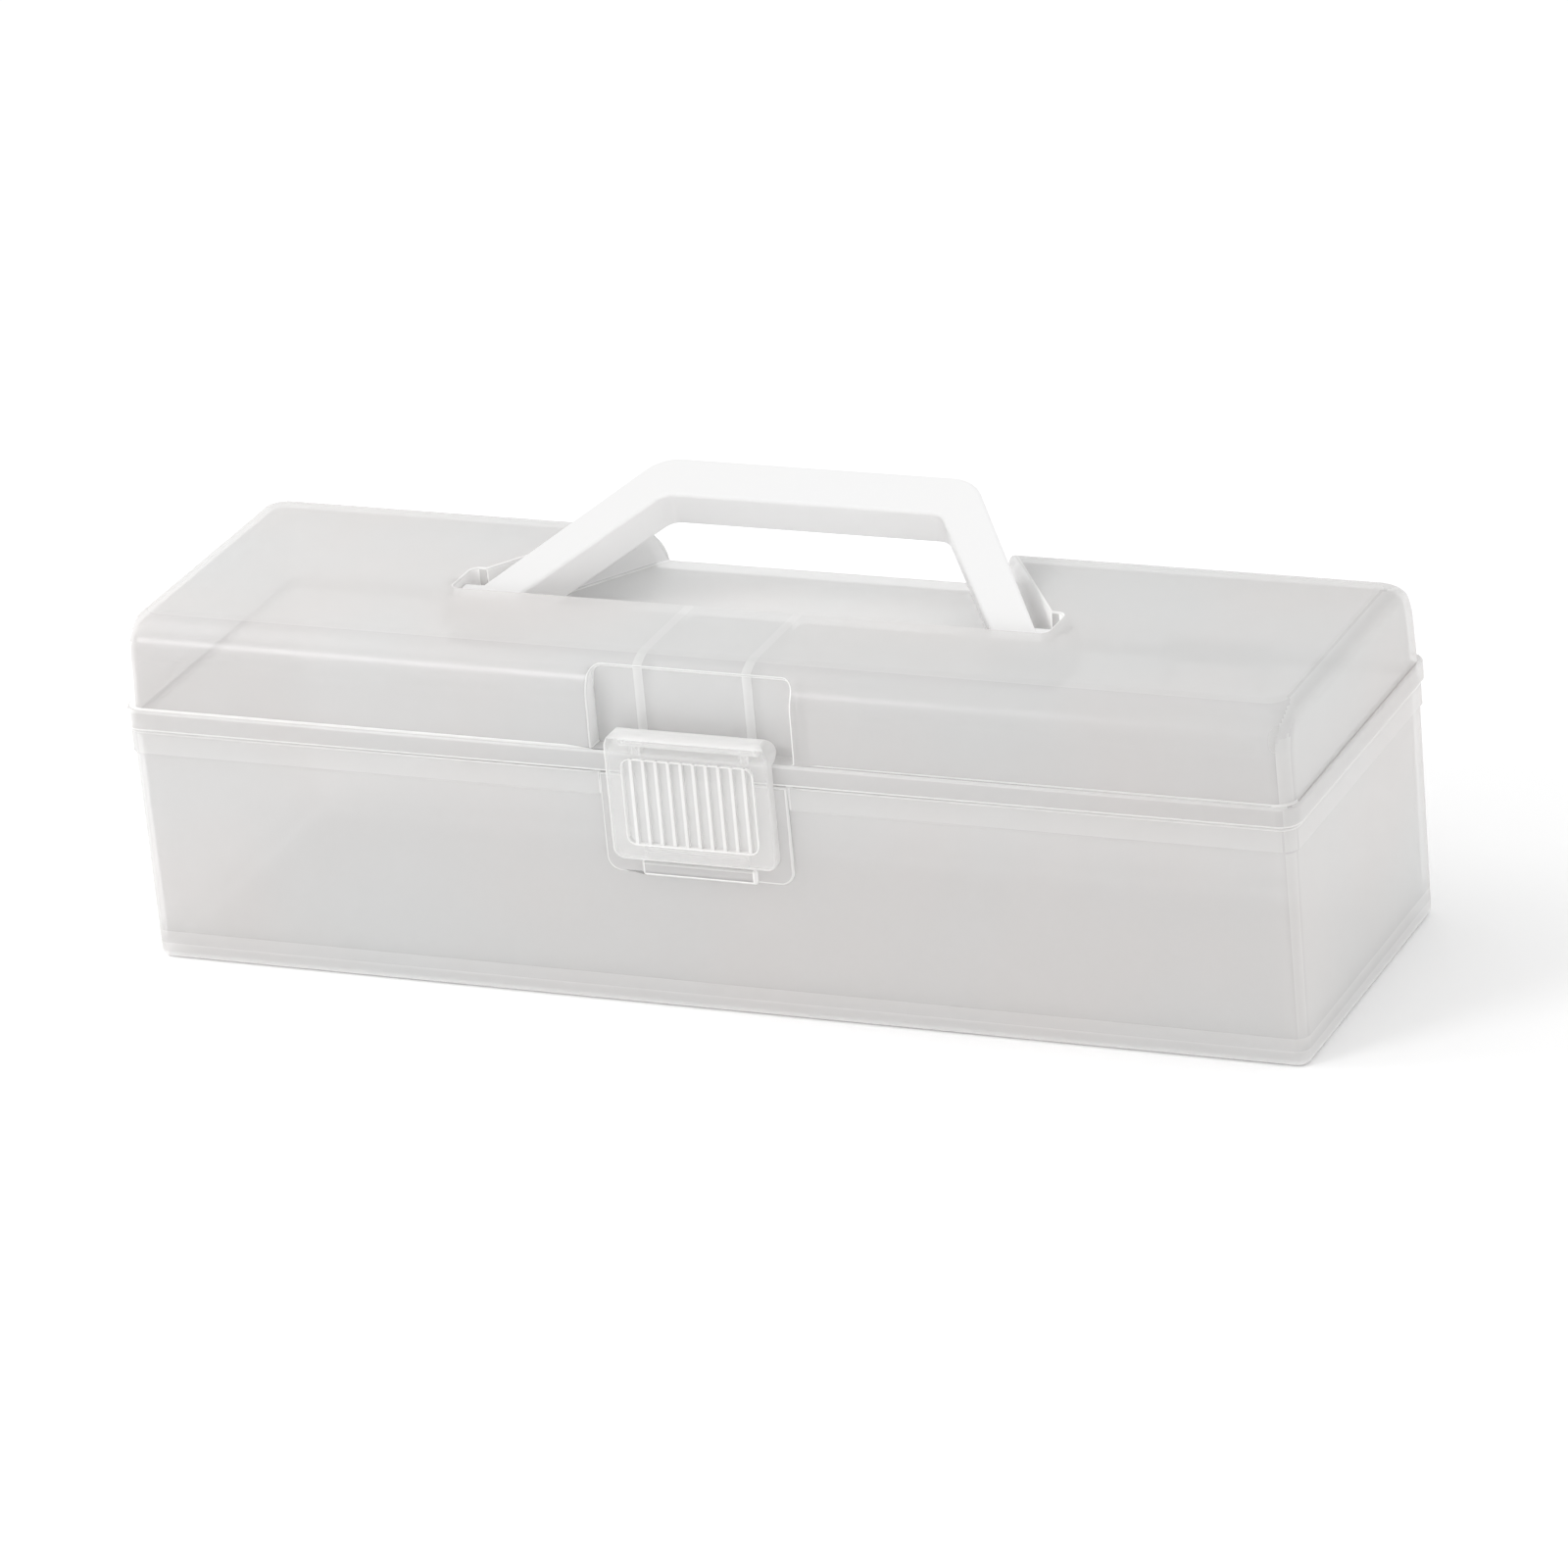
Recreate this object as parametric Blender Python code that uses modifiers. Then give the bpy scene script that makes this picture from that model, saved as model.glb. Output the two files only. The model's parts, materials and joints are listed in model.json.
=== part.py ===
"""Long art supply box: a translucent base and lid, a front latch that snaps shut and a swinging handle.

Metres, +Z up. X runs along the box, the latch is on the -Y side and the lid hinge on the +Y side.
The origin is the centre of the flat underside. The handle is modelled partly raised.
"""

import math

import bmesh
import bpy
from mathutils import Matrix

MM = 0.001
COLLECTION_NAME = "art_supply_box"

# Driving dimensions of the case
LENGTH = 330 * MM              # over the lid's rim
WIDTH = 103.4 * MM             # over the lid's rim
HEIGHT = 97 * MM               # underside to lid top
WALL = 1.8 * MM
CORNER_RADIUS = 5.4 * MM
CORNER_STEPS = 6
GAP = 0.3 * MM                 # clearance between neighbouring pieces
BURIED = 0.5 * MM              # how far a moulded-on detail reaches into its wall
PAST = 1 * MM                  # how far a cutting tool runs past the face that it opens
WELL_PAST = 8 * MM             # the same for a tool that starts well outside the case
TIGHT_RADIUS = 0.5 * MM        # for corners that only need to be smooth

# Base, given as insets from the rim's outline
SEAT_Z = 66.4 * MM             # ledge that the lid rests on
BAND_Z = 59.3 * MM             # underside of the base's thicker top band
BAND_SLOPE = 0.8 * MM
BAND_INSET = 0.8 * MM
BASE_WALL_INSET = 1.4 * MM
BASE_DRAFT = 0.4 * MM
FOOT_RADIUS = 2 * MM
TONGUE_TOP = 70.2 * MM         # lip that stands inside the lid
TONGUE_INSET = 2.2 * MM

# Lid
RIM_TOP = 72.5 * MM
RIM_CHAMFER = 0.5 * MM
FLANGE_INNER_INSET = 1.8 * MM
FLANGE_INNER_TOP = 71.1 * MM
FLANGE_SLOPE = 0.8 * MM        # height in which the wall thickens to the flange
LID_WALL_INSET = 1.1 * MM
LID_DRAFT = 0.3 * MM
FRONT_RADIUS = 11.4 * MM
BACK_RADIUS = 14.6 * MM
END_RADIUS = 5.5 * MM
ARC_STEPS = 9
LID_RIB_X = 15.3 * MM
LID_RIB_WIDTH = 2.6 * MM
LID_RIB_DEPTH = 2.5 * MM

# Handle recess in the lid: a notch beside each pivot, then sides that narrow towards the back
RECESS_FLOOR = 83.2 * MM
RECESS_FRONT_Y = -10.1 * MM
RECESS_TAPER = 0.67            # sideways per unit of depth
RECESS_FLOOR_REACH = 84.4 * MM # half-width of the tapering sides at the pivot line, at the floor
RECESS_TOP_REACH = 84.9 * MM   # the same at the lid top
NOTCH_SIDE_X = 84.3 * MM
NOTCH_BACK_Y = 3.8 * MM
RECESS_RADII = {"front": 2 * MM, "notch": 2.5 * MM, "step": 1 * MM, "back": 1 * MM}

# Handle
HANDLE_PIVOT_Y = -3.2 * MM
HANDLE_PIVOT_Z = 89.3 * MM
HANDLE_THICKNESS = 11.3 * MM
HANDLE_REST_DEG = 23.6         # above folded flat
HANDLE_ROOT_OUTER = 79.8 * MM
HANDLE_ROOT_INNER = 66.8 * MM
HANDLE_GRIP_OUTER = 44.9 * MM
HANDLE_GRIP_INNER = 39.5 * MM
HANDLE_REACH_OUTER = 53.5 * MM
HANDLE_REACH_INNER = 39.9 * MM
HANDLE_OUTER_RADIUS = 11 * MM
HANDLE_INNER_RADIUS = 5 * MM
HANDLE_WALL = 2.2 * MM         # skin around the cored underside
HANDLE_RIB = 1.6 * MM
HANDLE_SOFTENING = 1 * MM      # rounding of the handle's edges
HANDLE_KNEE_RADIUS = 0.4 * MM
HANDLE_ROOT_STEPS = 12         # facets of each rounded leg end
HANDLE_TRIM = 1.001            # trimming tool's thickness over the handle's
CORING_START = 9 * MM          # distance from the pivot line
GRIP_RIBS_X = [-30 * MM, -15 * MM, 0.0, 15 * MM, 30 * MM]
LEG_RIBS_REACH = [20 * MM, 31 * MM]
LEG_RIBS_SPAN = [40 * MM, 82 * MM]
HUB_OVERLAP = 6 * MM           # how far a hub starts inside its leg
HUB_RADIUS = 5.3 * MM          # fat root of each trunnion, in the notch
HUB_END = 83.9 * MM
TRUNNION_RADIUS = 3.6 * MM     # the part inside the lid's boss
TRUNNION_END = 87.6 * MM
BOSS_RADIUS = 6.6 * MM
BOSS_END = 88.4 * MM
BOSS_OVERLAP = 4 * MM          # how far a boss starts inside the recess's wall

# Latch, its hinge bar and the pocket in the lid's front
POCKET_HALF_WIDTH = 28.3 * MM
POCKET_BACK_Y = -45.6 * MM
POCKET_TOP = 94.4 * MM
POCKET_CORNER = 3 * MM
LATCH_PIVOT_Y = -51.5 * MM
LATCH_PIVOT_Z = 76 * MM
LATCH_SWING_DEG = 110.0
LATCH_HALF_WIDTH = 23.1 * MM
LATCH_BOTTOM = 43.6 * MM
LATCH_SKIRT_Y = -52 * MM       # back of the latch, just off the rim and the base's pad
LATCH_TOP_CORNER = 4.5 * MM
LATCH_TOP_SPARE = 0.1 * MM      # how far the rounded front outline stands over the barrel
LATCH_BOTTOM_CORNER = 3.2 * MM
BARREL_RADIUS = 3.2 * MM       # the latch's top, round about the bar
LATCH_FACE_Y = LATCH_PIVOT_Y - BARREL_RADIUS
BAR_RADIUS = 1.2 * MM
BAR_HALF_LENGTH = 18.8 * MM
EAR_DEPTH = 1.6 * MM           # behind the bar's axis
EAR_FRONT = 0.1 * MM           # in front of the bar's axis
EAR_SLOT_GAP = 0.4 * MM        # beside each ear
EAR_SLOT_START_DEG = -99.0     # sweep of the ear's clearance about the bar
EAR_SLOT_SHORT_DEG = 32.0      # how much less than the latch's swing it turns
BAR_END_GAP = 0.6 * MM
SLOT_PINCH = 0.2 * MM          # each side of the snap slot is this much narrower than the bar
PANEL_HALF_WIDTH = 18.2 * MM
PANEL_BOTTOM = 48.3 * MM
PANEL_TOP = 71.8 * MM
PANEL_CORNER = 2.2 * MM
PANEL_DEPTH = 1.5 * MM
FINGER_RIB_COUNT = 10
FINGER_RIB_PITCH = 3.53 * MM
FINGER_RIB_WIDTH = 1.1 * MM
FINGER_RIB_HEIGHT = 1.1 * MM

# Pad on the base's front behind the latch, and the catch between the two
PAD_HALF_WIDTH = 26.4 * MM
PAD_BOTTOM = 38.8 * MM
PAD_FACE_Y = -51.7 * MM        # flush with the lid's rim
PAD_CORNER = 4 * MM
CATCH_HALF_WIDTH = 14 * MM
CATCH_LOW, CATCH_HIGH = 46 * MM, 47.4 * MM
CATCH_FACE_Y = -52.4 * MM
HOOK_FACE_Y = -52.7 * MM
HOOK_HIGH = 45.6 * MM
HOOK_RELIEF_Y = -53.3 * MM
HOOK_RELIEF_HIGH = 48 * MM
LEDGE_HALF_WIDTH = 15.8 * MM
LEDGE_HEIGHT = 3.6 * MM
LEDGE_DEPTH = 1.2 * MM
LEDGE_RISE = 0.1 * MM          # above the pad's bottom edge

# Rear hinges
HINGE_X = 105 * MM
HINGE_Y = 55.5 * MM
HINGE_Z = 66.55 * MM
HINGE_EAR_RADIUS = 3.4 * MM
HINGE_EAR_LOW = 58.5 * MM
HINGE_EAR_WIDTH = 3 * MM
HINGE_EAR_START_DEG = -50      # start of the ear's round end
HINGE_EAR_STOP_DEG = 180       # its other end
HINGE_SIDE_GAP = 0.4 * MM      # between an ear and the barrel
HINGE_BARREL_RADIUS = 3.6 * MM
HINGE_BARREL_HALF = 11 * MM
HINGE_ARM_OVERLAP = 0.6 * MM   # how far the barrel's arm starts inside the rim
HINGE_PIN_RADIUS = 1.9 * MM
HINGE_MOUTH = 1.6 * MM         # half-width of the slot that the pin snaps in through

# Surface finishes: colour, roughness and opacity
FROSTED = ((0.84, 0.83, 0.82), 0.32, 0.45)
WHITE = ((0.93, 0.93, 0.92), 0.38, 1.0)


# ---------------------------------------------------------------- scene and helpers

def clear_scene():
    for item in list(bpy.data.objects):
        bpy.data.objects.remove(item, do_unlink=True)


def new_collection(name):
    collection = bpy.data.collections.new(name)
    bpy.context.scene.collection.children.link(collection)
    return collection


def plastic(name, finish):
    colour, roughness, opacity = finish
    material = bpy.data.materials.new(name)
    material.use_nodes = True
    shader = material.node_tree.nodes["Principled BSDF"]
    shader.inputs["Base Color"].default_value = (*colour, 1.0)
    shader.inputs["Roughness"].default_value = roughness
    shader.inputs["Metallic"].default_value = 0.0
    shader.inputs["Alpha"].default_value = opacity
    return material


def mesh_object(name, mesh):
    item = bpy.data.objects.new(name, mesh)
    bpy.context.scene.collection.objects.link(item)
    return item


def file_under(item, collection):
    for owner in list(item.users_collection):
        owner.objects.unlink(item)
    collection.objects.link(item)


def fillet(corners, radii, steps=CORNER_STEPS):
    """Closed outline through the corners, each replaced by an arc of its own radius."""
    if not hasattr(radii, "__len__"):
        radii = [radii] * len(corners)
    outline = []
    for index, (corner, radius) in enumerate(zip(corners, radii)):
        before = corners[index - 1]
        after = corners[(index + 1) % len(corners)]
        to_before = math.atan2(before[1] - corner[1], before[0] - corner[0])
        to_after = math.atan2(after[1] - corner[1], after[0] - corner[0])
        opening = (to_before - to_after) % math.tau
        turn = math.pi - opening
        half = abs(opening if opening < math.pi else math.tau - opening) / 2
        reach = radius / math.tan(half)
        start = (corner[0] + reach * math.cos(to_before), corner[1] + reach * math.sin(to_before))
        side = math.copysign(1.0, turn)
        to_centre = to_before - side * math.pi / 2
        centre = (start[0] + radius * math.cos(to_centre), start[1] + radius * math.sin(to_centre))
        for step in range(steps + 1):
            angle = to_centre + math.pi + turn * step / steps
            outline.append((centre[0] + radius * math.cos(angle), centre[1] + radius * math.sin(angle)))
    return outline


def rectangle(half_x, front_y, back_y, radius):
    corners = [(-half_x, front_y), (half_x, front_y), (half_x, back_y), (-half_x, back_y)]
    return fillet(corners, radius)


def rim_rectangle(inset, radius=None):
    """Plan outline that lies a constant inset inside the rim."""
    if radius is None:
        radius = max(CORNER_RADIUS - inset, 1 * MM)
    half_y = WIDTH / 2 - inset
    return rectangle(LENGTH / 2 - inset, -half_y, half_y, radius)


def loft(name, sections):
    """Closed skin through flat sections, given as (z, outline), from the bottom up."""
    mesh = bpy.data.meshes.new(name)
    skin = bmesh.new()
    rings = []
    for z, outline in sections:
        rings.append([skin.verts.new((x, y, z)) for x, y in outline])
    count = len(rings[0])
    for lower, upper in zip(rings, rings[1:]):
        for index in range(count):
            other = (index + 1) % count
            skin.faces.new((lower[index], lower[other], upper[other], upper[index]))
    skin.faces.new(list(reversed(rings[0])))
    skin.faces.new(rings[-1])
    skin.to_mesh(mesh)
    skin.free()
    return mesh_object(name, mesh)


def box(name, low, high):
    bpy.ops.mesh.primitive_cube_add(size=1.0)
    item = bpy.context.object
    item.name = name
    size = [b - a for a, b in zip(low, high)]
    middle = [(a + b) / 2 for a, b in zip(low, high)]
    item.data.transform(Matrix.Translation(middle) @ Matrix.Diagonal((*size, 1.0)))
    return item


def rod(name, radius, x_start, x_end, y, z, sides=32):
    """Cylinder along X."""
    bpy.ops.mesh.primitive_cylinder_add(vertices=sides, radius=radius, depth=abs(x_end - x_start))
    item = bpy.context.object
    item.name = name
    place = Matrix.Translation(((x_start + x_end) / 2, y, z))
    item.data.transform(place @ Matrix.Rotation(math.pi / 2, 4, "Y"))
    return item


def plate(name, outline, thickness, frame):
    """Flat outline given thickness both ways about its plane, then turned by the frame matrix."""
    curve = bpy.data.curves.new(name, "CURVE")
    curve.dimensions = "2D"
    curve.fill_mode = "BOTH"
    curve.extrude = thickness / 2
    spline = curve.splines.new("POLY")
    spline.points.add(len(outline) - 1)
    for point, (u, v) in zip(spline.points, outline):
        point.co = (u, v, 0.0, 1.0)
    spline.use_cyclic_u = True
    guide = bpy.data.objects.new(name + "_outline", curve)
    bpy.context.scene.collection.objects.link(guide)
    bpy.context.view_layer.update()
    evaluated = guide.evaluated_get(bpy.context.evaluated_depsgraph_get())
    mesh = bpy.data.meshes.new_from_object(evaluated)
    bpy.data.objects.remove(guide, do_unlink=True)
    solid = bmesh.new()
    solid.from_mesh(mesh)
    bmesh.ops.remove_doubles(solid, verts=solid.verts, dist=0.01 * MM)
    bmesh.ops.recalc_face_normals(solid, faces=solid.faces)
    solid.to_mesh(mesh)
    solid.free()
    mesh.transform(frame)
    mesh.name = name
    return mesh_object(name, mesh)


def along_x(x):
    """Frame that puts an outline given as (y, z) at the position x."""
    return Matrix(((0, 0, 1, x), (1, 0, 0, 0), (0, 1, 0, 0), (0, 0, 0, 1)))


def along_y(y):
    """Frame that puts an outline given as (x, z) at the position y."""
    return Matrix(((1, 0, 0, 0), (0, 0, -1, y), (0, 1, 0, 0), (0, 0, 0, 1)))


def combine(target, tools, operation):
    """Boolean modifiers on the target, one for each tool."""
    for tool in tools:
        modifier = target.modifiers.new(tool.name, "BOOLEAN")
        modifier.operation = operation
        modifier.solver = "EXACT"
        modifier.object = tool
        tool.hide_render = True
        tool.display_type = "WIRE"
        file_under(tool, CUTTERS)


def cut(target, *tools):
    combine(target, tools, "DIFFERENCE")


def fuse(target, *tools):
    combine(target, tools, "UNION")


def finish_part(item, material):
    """File a finished sub-part, give it its material and shade its round faces smooth."""
    file_under(item, PARTS)
    item.data.materials.clear()
    item.data.materials.append(material)
    item.data.shade_smooth()
    item.data.set_sharp_from_angle(angle=math.radians(30))
    return item


def arc(centre, radius, start_deg, end_deg, steps):
    """Points of an arc, both ends included; radius may be a pair for an ellipse."""
    across, up = radius if hasattr(radius, "__len__") else (radius, radius)
    points = []
    for step in range(steps + 1):
        angle = math.radians(start_deg + (end_deg - start_deg) * step / steps)
        points.append((centre[0] + across * math.cos(angle), centre[1] + up * math.sin(angle)))
    return points


# ---------------------------------------------------------------- base

def base_shell():
    """Tapered tray with a thicker top band, a seat for the lid and an upstanding tongue."""
    wall = BASE_WALL_INSET
    foot = wall + BASE_DRAFT
    sections = []
    for step in range(4):
        angle = math.pi / 2 * step / 3
        sections.append((FOOT_RADIUS * (1 - math.cos(angle)),
                         rim_rectangle(foot + FOOT_RADIUS * (1 - math.sin(angle)))))
    sections.append((BAND_Z, rim_rectangle(wall)))
    sections.append((BAND_Z + BAND_SLOPE, rim_rectangle(BAND_INSET)))
    sections.append((SEAT_Z, rim_rectangle(BAND_INSET)))
    sections.append((SEAT_Z, rim_rectangle(TONGUE_INSET)))
    sections.append((TONGUE_TOP, rim_rectangle(TONGUE_INSET)))
    shell = loft("base", sections)
    cavity = loft("base_cavity", [
        (WALL, rim_rectangle(foot + WALL)),
        (TONGUE_TOP + PAST, rim_rectangle(wall + WALL)),
    ])
    cut(shell, cavity)
    return shell


def base_front_pad():
    """Raised pad below the rim, with the catch rib and the small ledge under the latch."""
    inner_y = -(WIDTH / 2 - BASE_WALL_INSET - WALL / 2)
    depth = inner_y - PAD_FACE_Y
    outline = fillet([(-PAD_HALF_WIDTH, PAD_BOTTOM), (PAD_HALF_WIDTH, PAD_BOTTOM),
                      (PAD_HALF_WIDTH, SEAT_Z), (-PAD_HALF_WIDTH, SEAT_Z)],
                     [PAD_CORNER, PAD_CORNER, TIGHT_RADIUS, TIGHT_RADIUS])
    pad = plate("base_pad", outline, depth, along_y((inner_y + PAD_FACE_Y) / 2))
    buried_y = PAD_FACE_Y + BURIED
    catch = box("base_catch",
                (-CATCH_HALF_WIDTH, CATCH_FACE_Y, CATCH_LOW),
                (CATCH_HALF_WIDTH, buried_y, CATCH_HIGH))
    ledge_low = PAD_BOTTOM + LEDGE_RISE
    ledge = box("base_ledge",
                (-LEDGE_HALF_WIDTH, PAD_FACE_Y - LEDGE_DEPTH, ledge_low),
                (LEDGE_HALF_WIDTH, buried_y, ledge_low + LEDGE_HEIGHT))
    return [pad, catch, ledge]


def base_hinge(side):
    """Two ears with the hinge pin moulded between them."""
    middle = side * HINGE_X
    inner = HINGE_BARREL_HALF + HINGE_SIDE_GAP
    back_y = WIDTH / 2 - BAND_INSET - BURIED
    outline = [(back_y, HINGE_EAR_LOW)]
    outline += arc((HINGE_Y, HINGE_Z), HINGE_EAR_RADIUS, HINGE_EAR_START_DEG, HINGE_EAR_STOP_DEG, 14)
    outline += [(HINGE_Y - HINGE_EAR_RADIUS, SEAT_Z - BURIED), (back_y, SEAT_Z - BURIED)]
    pieces = []
    for end in (-1, 1):
        x = middle + end * (inner + HINGE_EAR_WIDTH / 2)
        name = "base_ear_%d_%d" % (side, end)
        pieces.append(plate(name, outline, HINGE_EAR_WIDTH, along_x(x)))
    reach = inner + HINGE_EAR_WIDTH / 2
    pieces.append(rod("base_pin_%d" % side, HINGE_PIN_RADIUS,
                      middle - reach, middle + reach, HINGE_Y, HINGE_Z, 24))
    return pieces


def make_base(material):
    shell = base_shell()
    fuse(shell, *base_front_pad())
    for side in (-1, 1):
        fuse(shell, *base_hinge(side))
    return finish_part(shell, material)


# ---------------------------------------------------------------- lid

def lid_sections(inset):
    """Crowned part of the lid above the rim, every face moved inwards by the inset."""
    top = HEIGHT - inset
    radii = [radius - inset for radius in (FRONT_RADIUS, BACK_RADIUS, END_RADIUS)]
    arc_start = top - radii[1]
    sections = []
    for step in range(ARC_STEPS + 1):
        z = arc_start + radii[1] * math.sin(math.pi / 2 * step / ARC_STEPS)
        front, back, end = [round_over(z, top, radius) for radius in radii]
        wall = LID_WALL_INSET + LID_DRAFT + inset
        half_x = LENGTH / 2 - wall
        half_y = WIDTH / 2 - wall
        outline = rectangle(half_x - end, front - half_y, half_y - back, CORNER_RADIUS - inset)
        sections.append((z, outline))
    return sections


def round_over(z, top, radius):
    """How far a rounded edge has drawn in at height z."""
    rise = max(z - (top - radius), 0.0)
    return radius - math.sqrt(max(radius ** 2 - rise ** 2, 0.0))


def lid_outer():
    bottom = SEAT_Z + GAP
    sections = [
        (bottom, rim_rectangle(RIM_CHAMFER)),
        (bottom + RIM_CHAMFER, rim_rectangle(0)),
        (RIM_TOP - RIM_CHAMFER, rim_rectangle(0)),
        (RIM_TOP, rim_rectangle(LID_WALL_INSET, CORNER_RADIUS)),
    ]
    return loft("lid", sections + lid_sections(0))


def lid_cavity():
    """Hollow of the lid: wider inside the rim, with room kept for everything moulded inwards."""
    sections = [
        (SEAT_Z - PAST, rim_rectangle(FLANGE_INNER_INSET)),
        (FLANGE_INNER_TOP, rim_rectangle(FLANGE_INNER_INSET)),
        (FLANGE_INNER_TOP + FLANGE_SLOPE, rim_rectangle(LID_WALL_INSET + WALL, CORNER_RADIUS - WALL)),
    ]
    cavity = loft("lid_cavity", sections + lid_sections(WALL))
    cut(cavity, handle_recess("lid_recess_skin", WALL), latch_pocket("lid_pocket_skin", WALL))
    for side in (-1, 1):
        name = "lid_boss_%d" % side
        start = side * (NOTCH_SIDE_X - BOSS_OVERLAP)
        cut(cavity, rod(name, BOSS_RADIUS, start, side * BOSS_END, HANDLE_PIVOT_Y, HANDLE_PIVOT_Z))
        cut(cavity, lid_rib(side))
    return cavity


def handle_recess(name, grow):
    """Space that the folded handle lies in, open at the lid's back; grow adds a skin around it."""
    back_y = WIDTH / 2 + WELL_PAST
    side_x = NOTCH_SIDE_X + grow
    front_y = RECESS_FRONT_Y - grow
    step_y = NOTCH_BACK_Y + grow
    slant = grow * math.hypot(1, RECESS_TAPER)
    draft = (RECESS_TOP_REACH - RECESS_FLOOR_REACH) / (HEIGHT - RECESS_FLOOR)
    sections = []
    for z in (RECESS_FLOOR - grow, HEIGHT + 2 * PAST):
        reach = RECESS_FLOOR_REACH + draft * (z - RECESS_FLOOR) + slant
        step_x = reach - RECESS_TAPER * (step_y - HANDLE_PIVOT_Y)
        back_x = reach - RECESS_TAPER * (back_y - HANDLE_PIVOT_Y)
        right = [(side_x, front_y, RECESS_RADII["front"]), (side_x, step_y, RECESS_RADII["notch"]),
                 (step_x, step_y, RECESS_RADII["step"]), (back_x, back_y, RECESS_RADII["back"])]
        left = [(-x, y, radius) for x, y, radius in reversed(right)]
        corners = right + left
        sections.append((z, fillet([(x, y) for x, y, _ in corners], [radius for _, _, radius in corners])))
    return loft(name, sections)


def latch_pocket(name, grow):
    """Flat-backed pocket in the curved front of the lid; grow adds a skin around it."""
    half = POCKET_HALF_WIDTH + grow
    bottom = RIM_TOP - grow
    top = POCKET_TOP + grow
    corner = POCKET_CORNER + grow
    outline = fillet([(-half, bottom), (half, bottom), (half, top), (-half, top)],
                     [TIGHT_RADIUS, TIGHT_RADIUS, corner, corner])
    front_y = -WIDTH / 2 - WELL_PAST
    back_y = POCKET_BACK_Y + grow
    return plate(name, outline, back_y - front_y, along_y((front_y + back_y) / 2))


def lid_rib(side):
    """Rib inside the lid, from the handle recess over the front curve and down to the rim."""
    top = HEIGHT - WALL
    front_y = -(WIDTH / 2 - LID_WALL_INSET - LID_DRAFT)
    start_y = RECESS_FRONT_Y - WALL + PAST
    back_y = POCKET_BACK_Y + WALL
    below = top - LID_RIB_DEPTH
    inner_radius = FRONT_RADIUS - WALL - LID_RIB_DEPTH
    centre = (back_y + LID_RIB_DEPTH + inner_radius, below - inner_radius)
    outline = [(start_y, top + PAST), (start_y, below)]
    outline += arc(centre, inner_radius, 90, 180, 5)
    outline += [(back_y + LID_RIB_DEPTH, RIM_TOP - WALL), (front_y, RIM_TOP - WALL)]
    outline += [(front_y, top + PAST)]
    return plate("lid_rib_%d" % side, outline, LID_RIB_WIDTH, along_x(side * LID_RIB_X))


def latch_bar():
    """Bar that the latch snaps over, on two ears that stand on the pocket's floor."""
    pieces = [rod("lid_latch_bar", BAR_RADIUS, -BAR_HALF_LENGTH, BAR_HALF_LENGTH,
                  LATCH_PIVOT_Y, LATCH_PIVOT_Z, 24)]
    front_y = LATCH_PIVOT_Y - EAR_FRONT
    back_y = LATCH_PIVOT_Y + EAR_DEPTH
    top = LATCH_PIVOT_Z - BAR_RADIUS / 2
    foot = RIM_TOP - BURIED
    outline = [(front_y, foot), (back_y, foot), (back_y, top - EAR_DEPTH),
               (back_y - EAR_DEPTH / 2, top), (front_y, top)]
    for side in (-1, 1):
        pieces.append(plate("lid_latch_ear_%d" % side, outline, LID_RIB_WIDTH, along_x(side * LID_RIB_X)))
    return pieces


def lid_hinge_barrel(side):
    """Barrel on an arm behind the rim."""
    low = side * HINGE_X - HINGE_BARREL_HALF
    high = side * HINGE_X + HINGE_BARREL_HALF
    arm = box("lid_arm_%d" % side,
              (low, WIDTH / 2 - HINGE_ARM_OVERLAP, SEAT_Z + BURIED),
              (high, HINGE_Y, HINGE_Z + HINGE_BARREL_RADIUS))
    barrel = rod("lid_barrel_%d" % side, HINGE_BARREL_RADIUS, low, high, HINGE_Y, HINGE_Z)
    return [arm, barrel]


def lid_hinge_bore(side):
    """Bore of the barrel, open below so that it snaps over the pin."""
    low = side * HINGE_X - HINGE_BARREL_HALF - PAST
    high = side * HINGE_X + HINGE_BARREL_HALF + PAST
    bore = rod("lid_hinge_bore_%d" % side, HINGE_PIN_RADIUS + GAP, low, high, HINGE_Y, HINGE_Z, 24)
    slot = box("lid_hinge_slot_%d" % side,
               (low, HINGE_Y - HINGE_MOUTH, HINGE_Z - HINGE_BARREL_RADIUS - PAST),
               (high, HINGE_Y + HINGE_MOUTH, HINGE_Z))
    return [bore, slot]


def make_lid(material):
    shell = lid_outer()
    cut(shell, lid_cavity(), handle_recess("lid_recess", 0.0), latch_pocket("lid_pocket", 0.0))
    fuse(shell, *latch_bar())
    for side in (-1, 1):
        fuse(shell, *lid_hinge_barrel(side))
        cut(shell, *lid_hinge_bore(side))
        cut(shell, rod("lid_trunnion_bore_%d" % side, TRUNNION_RADIUS + GAP,
                       side * (NOTCH_SIDE_X - BOSS_OVERLAP), side * (BOSS_END + PAST),
                       HANDLE_PIVOT_Y, HANDLE_PIVOT_Z))
    return finish_part(shell, material)


# ---------------------------------------------------------------- latch

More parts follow.
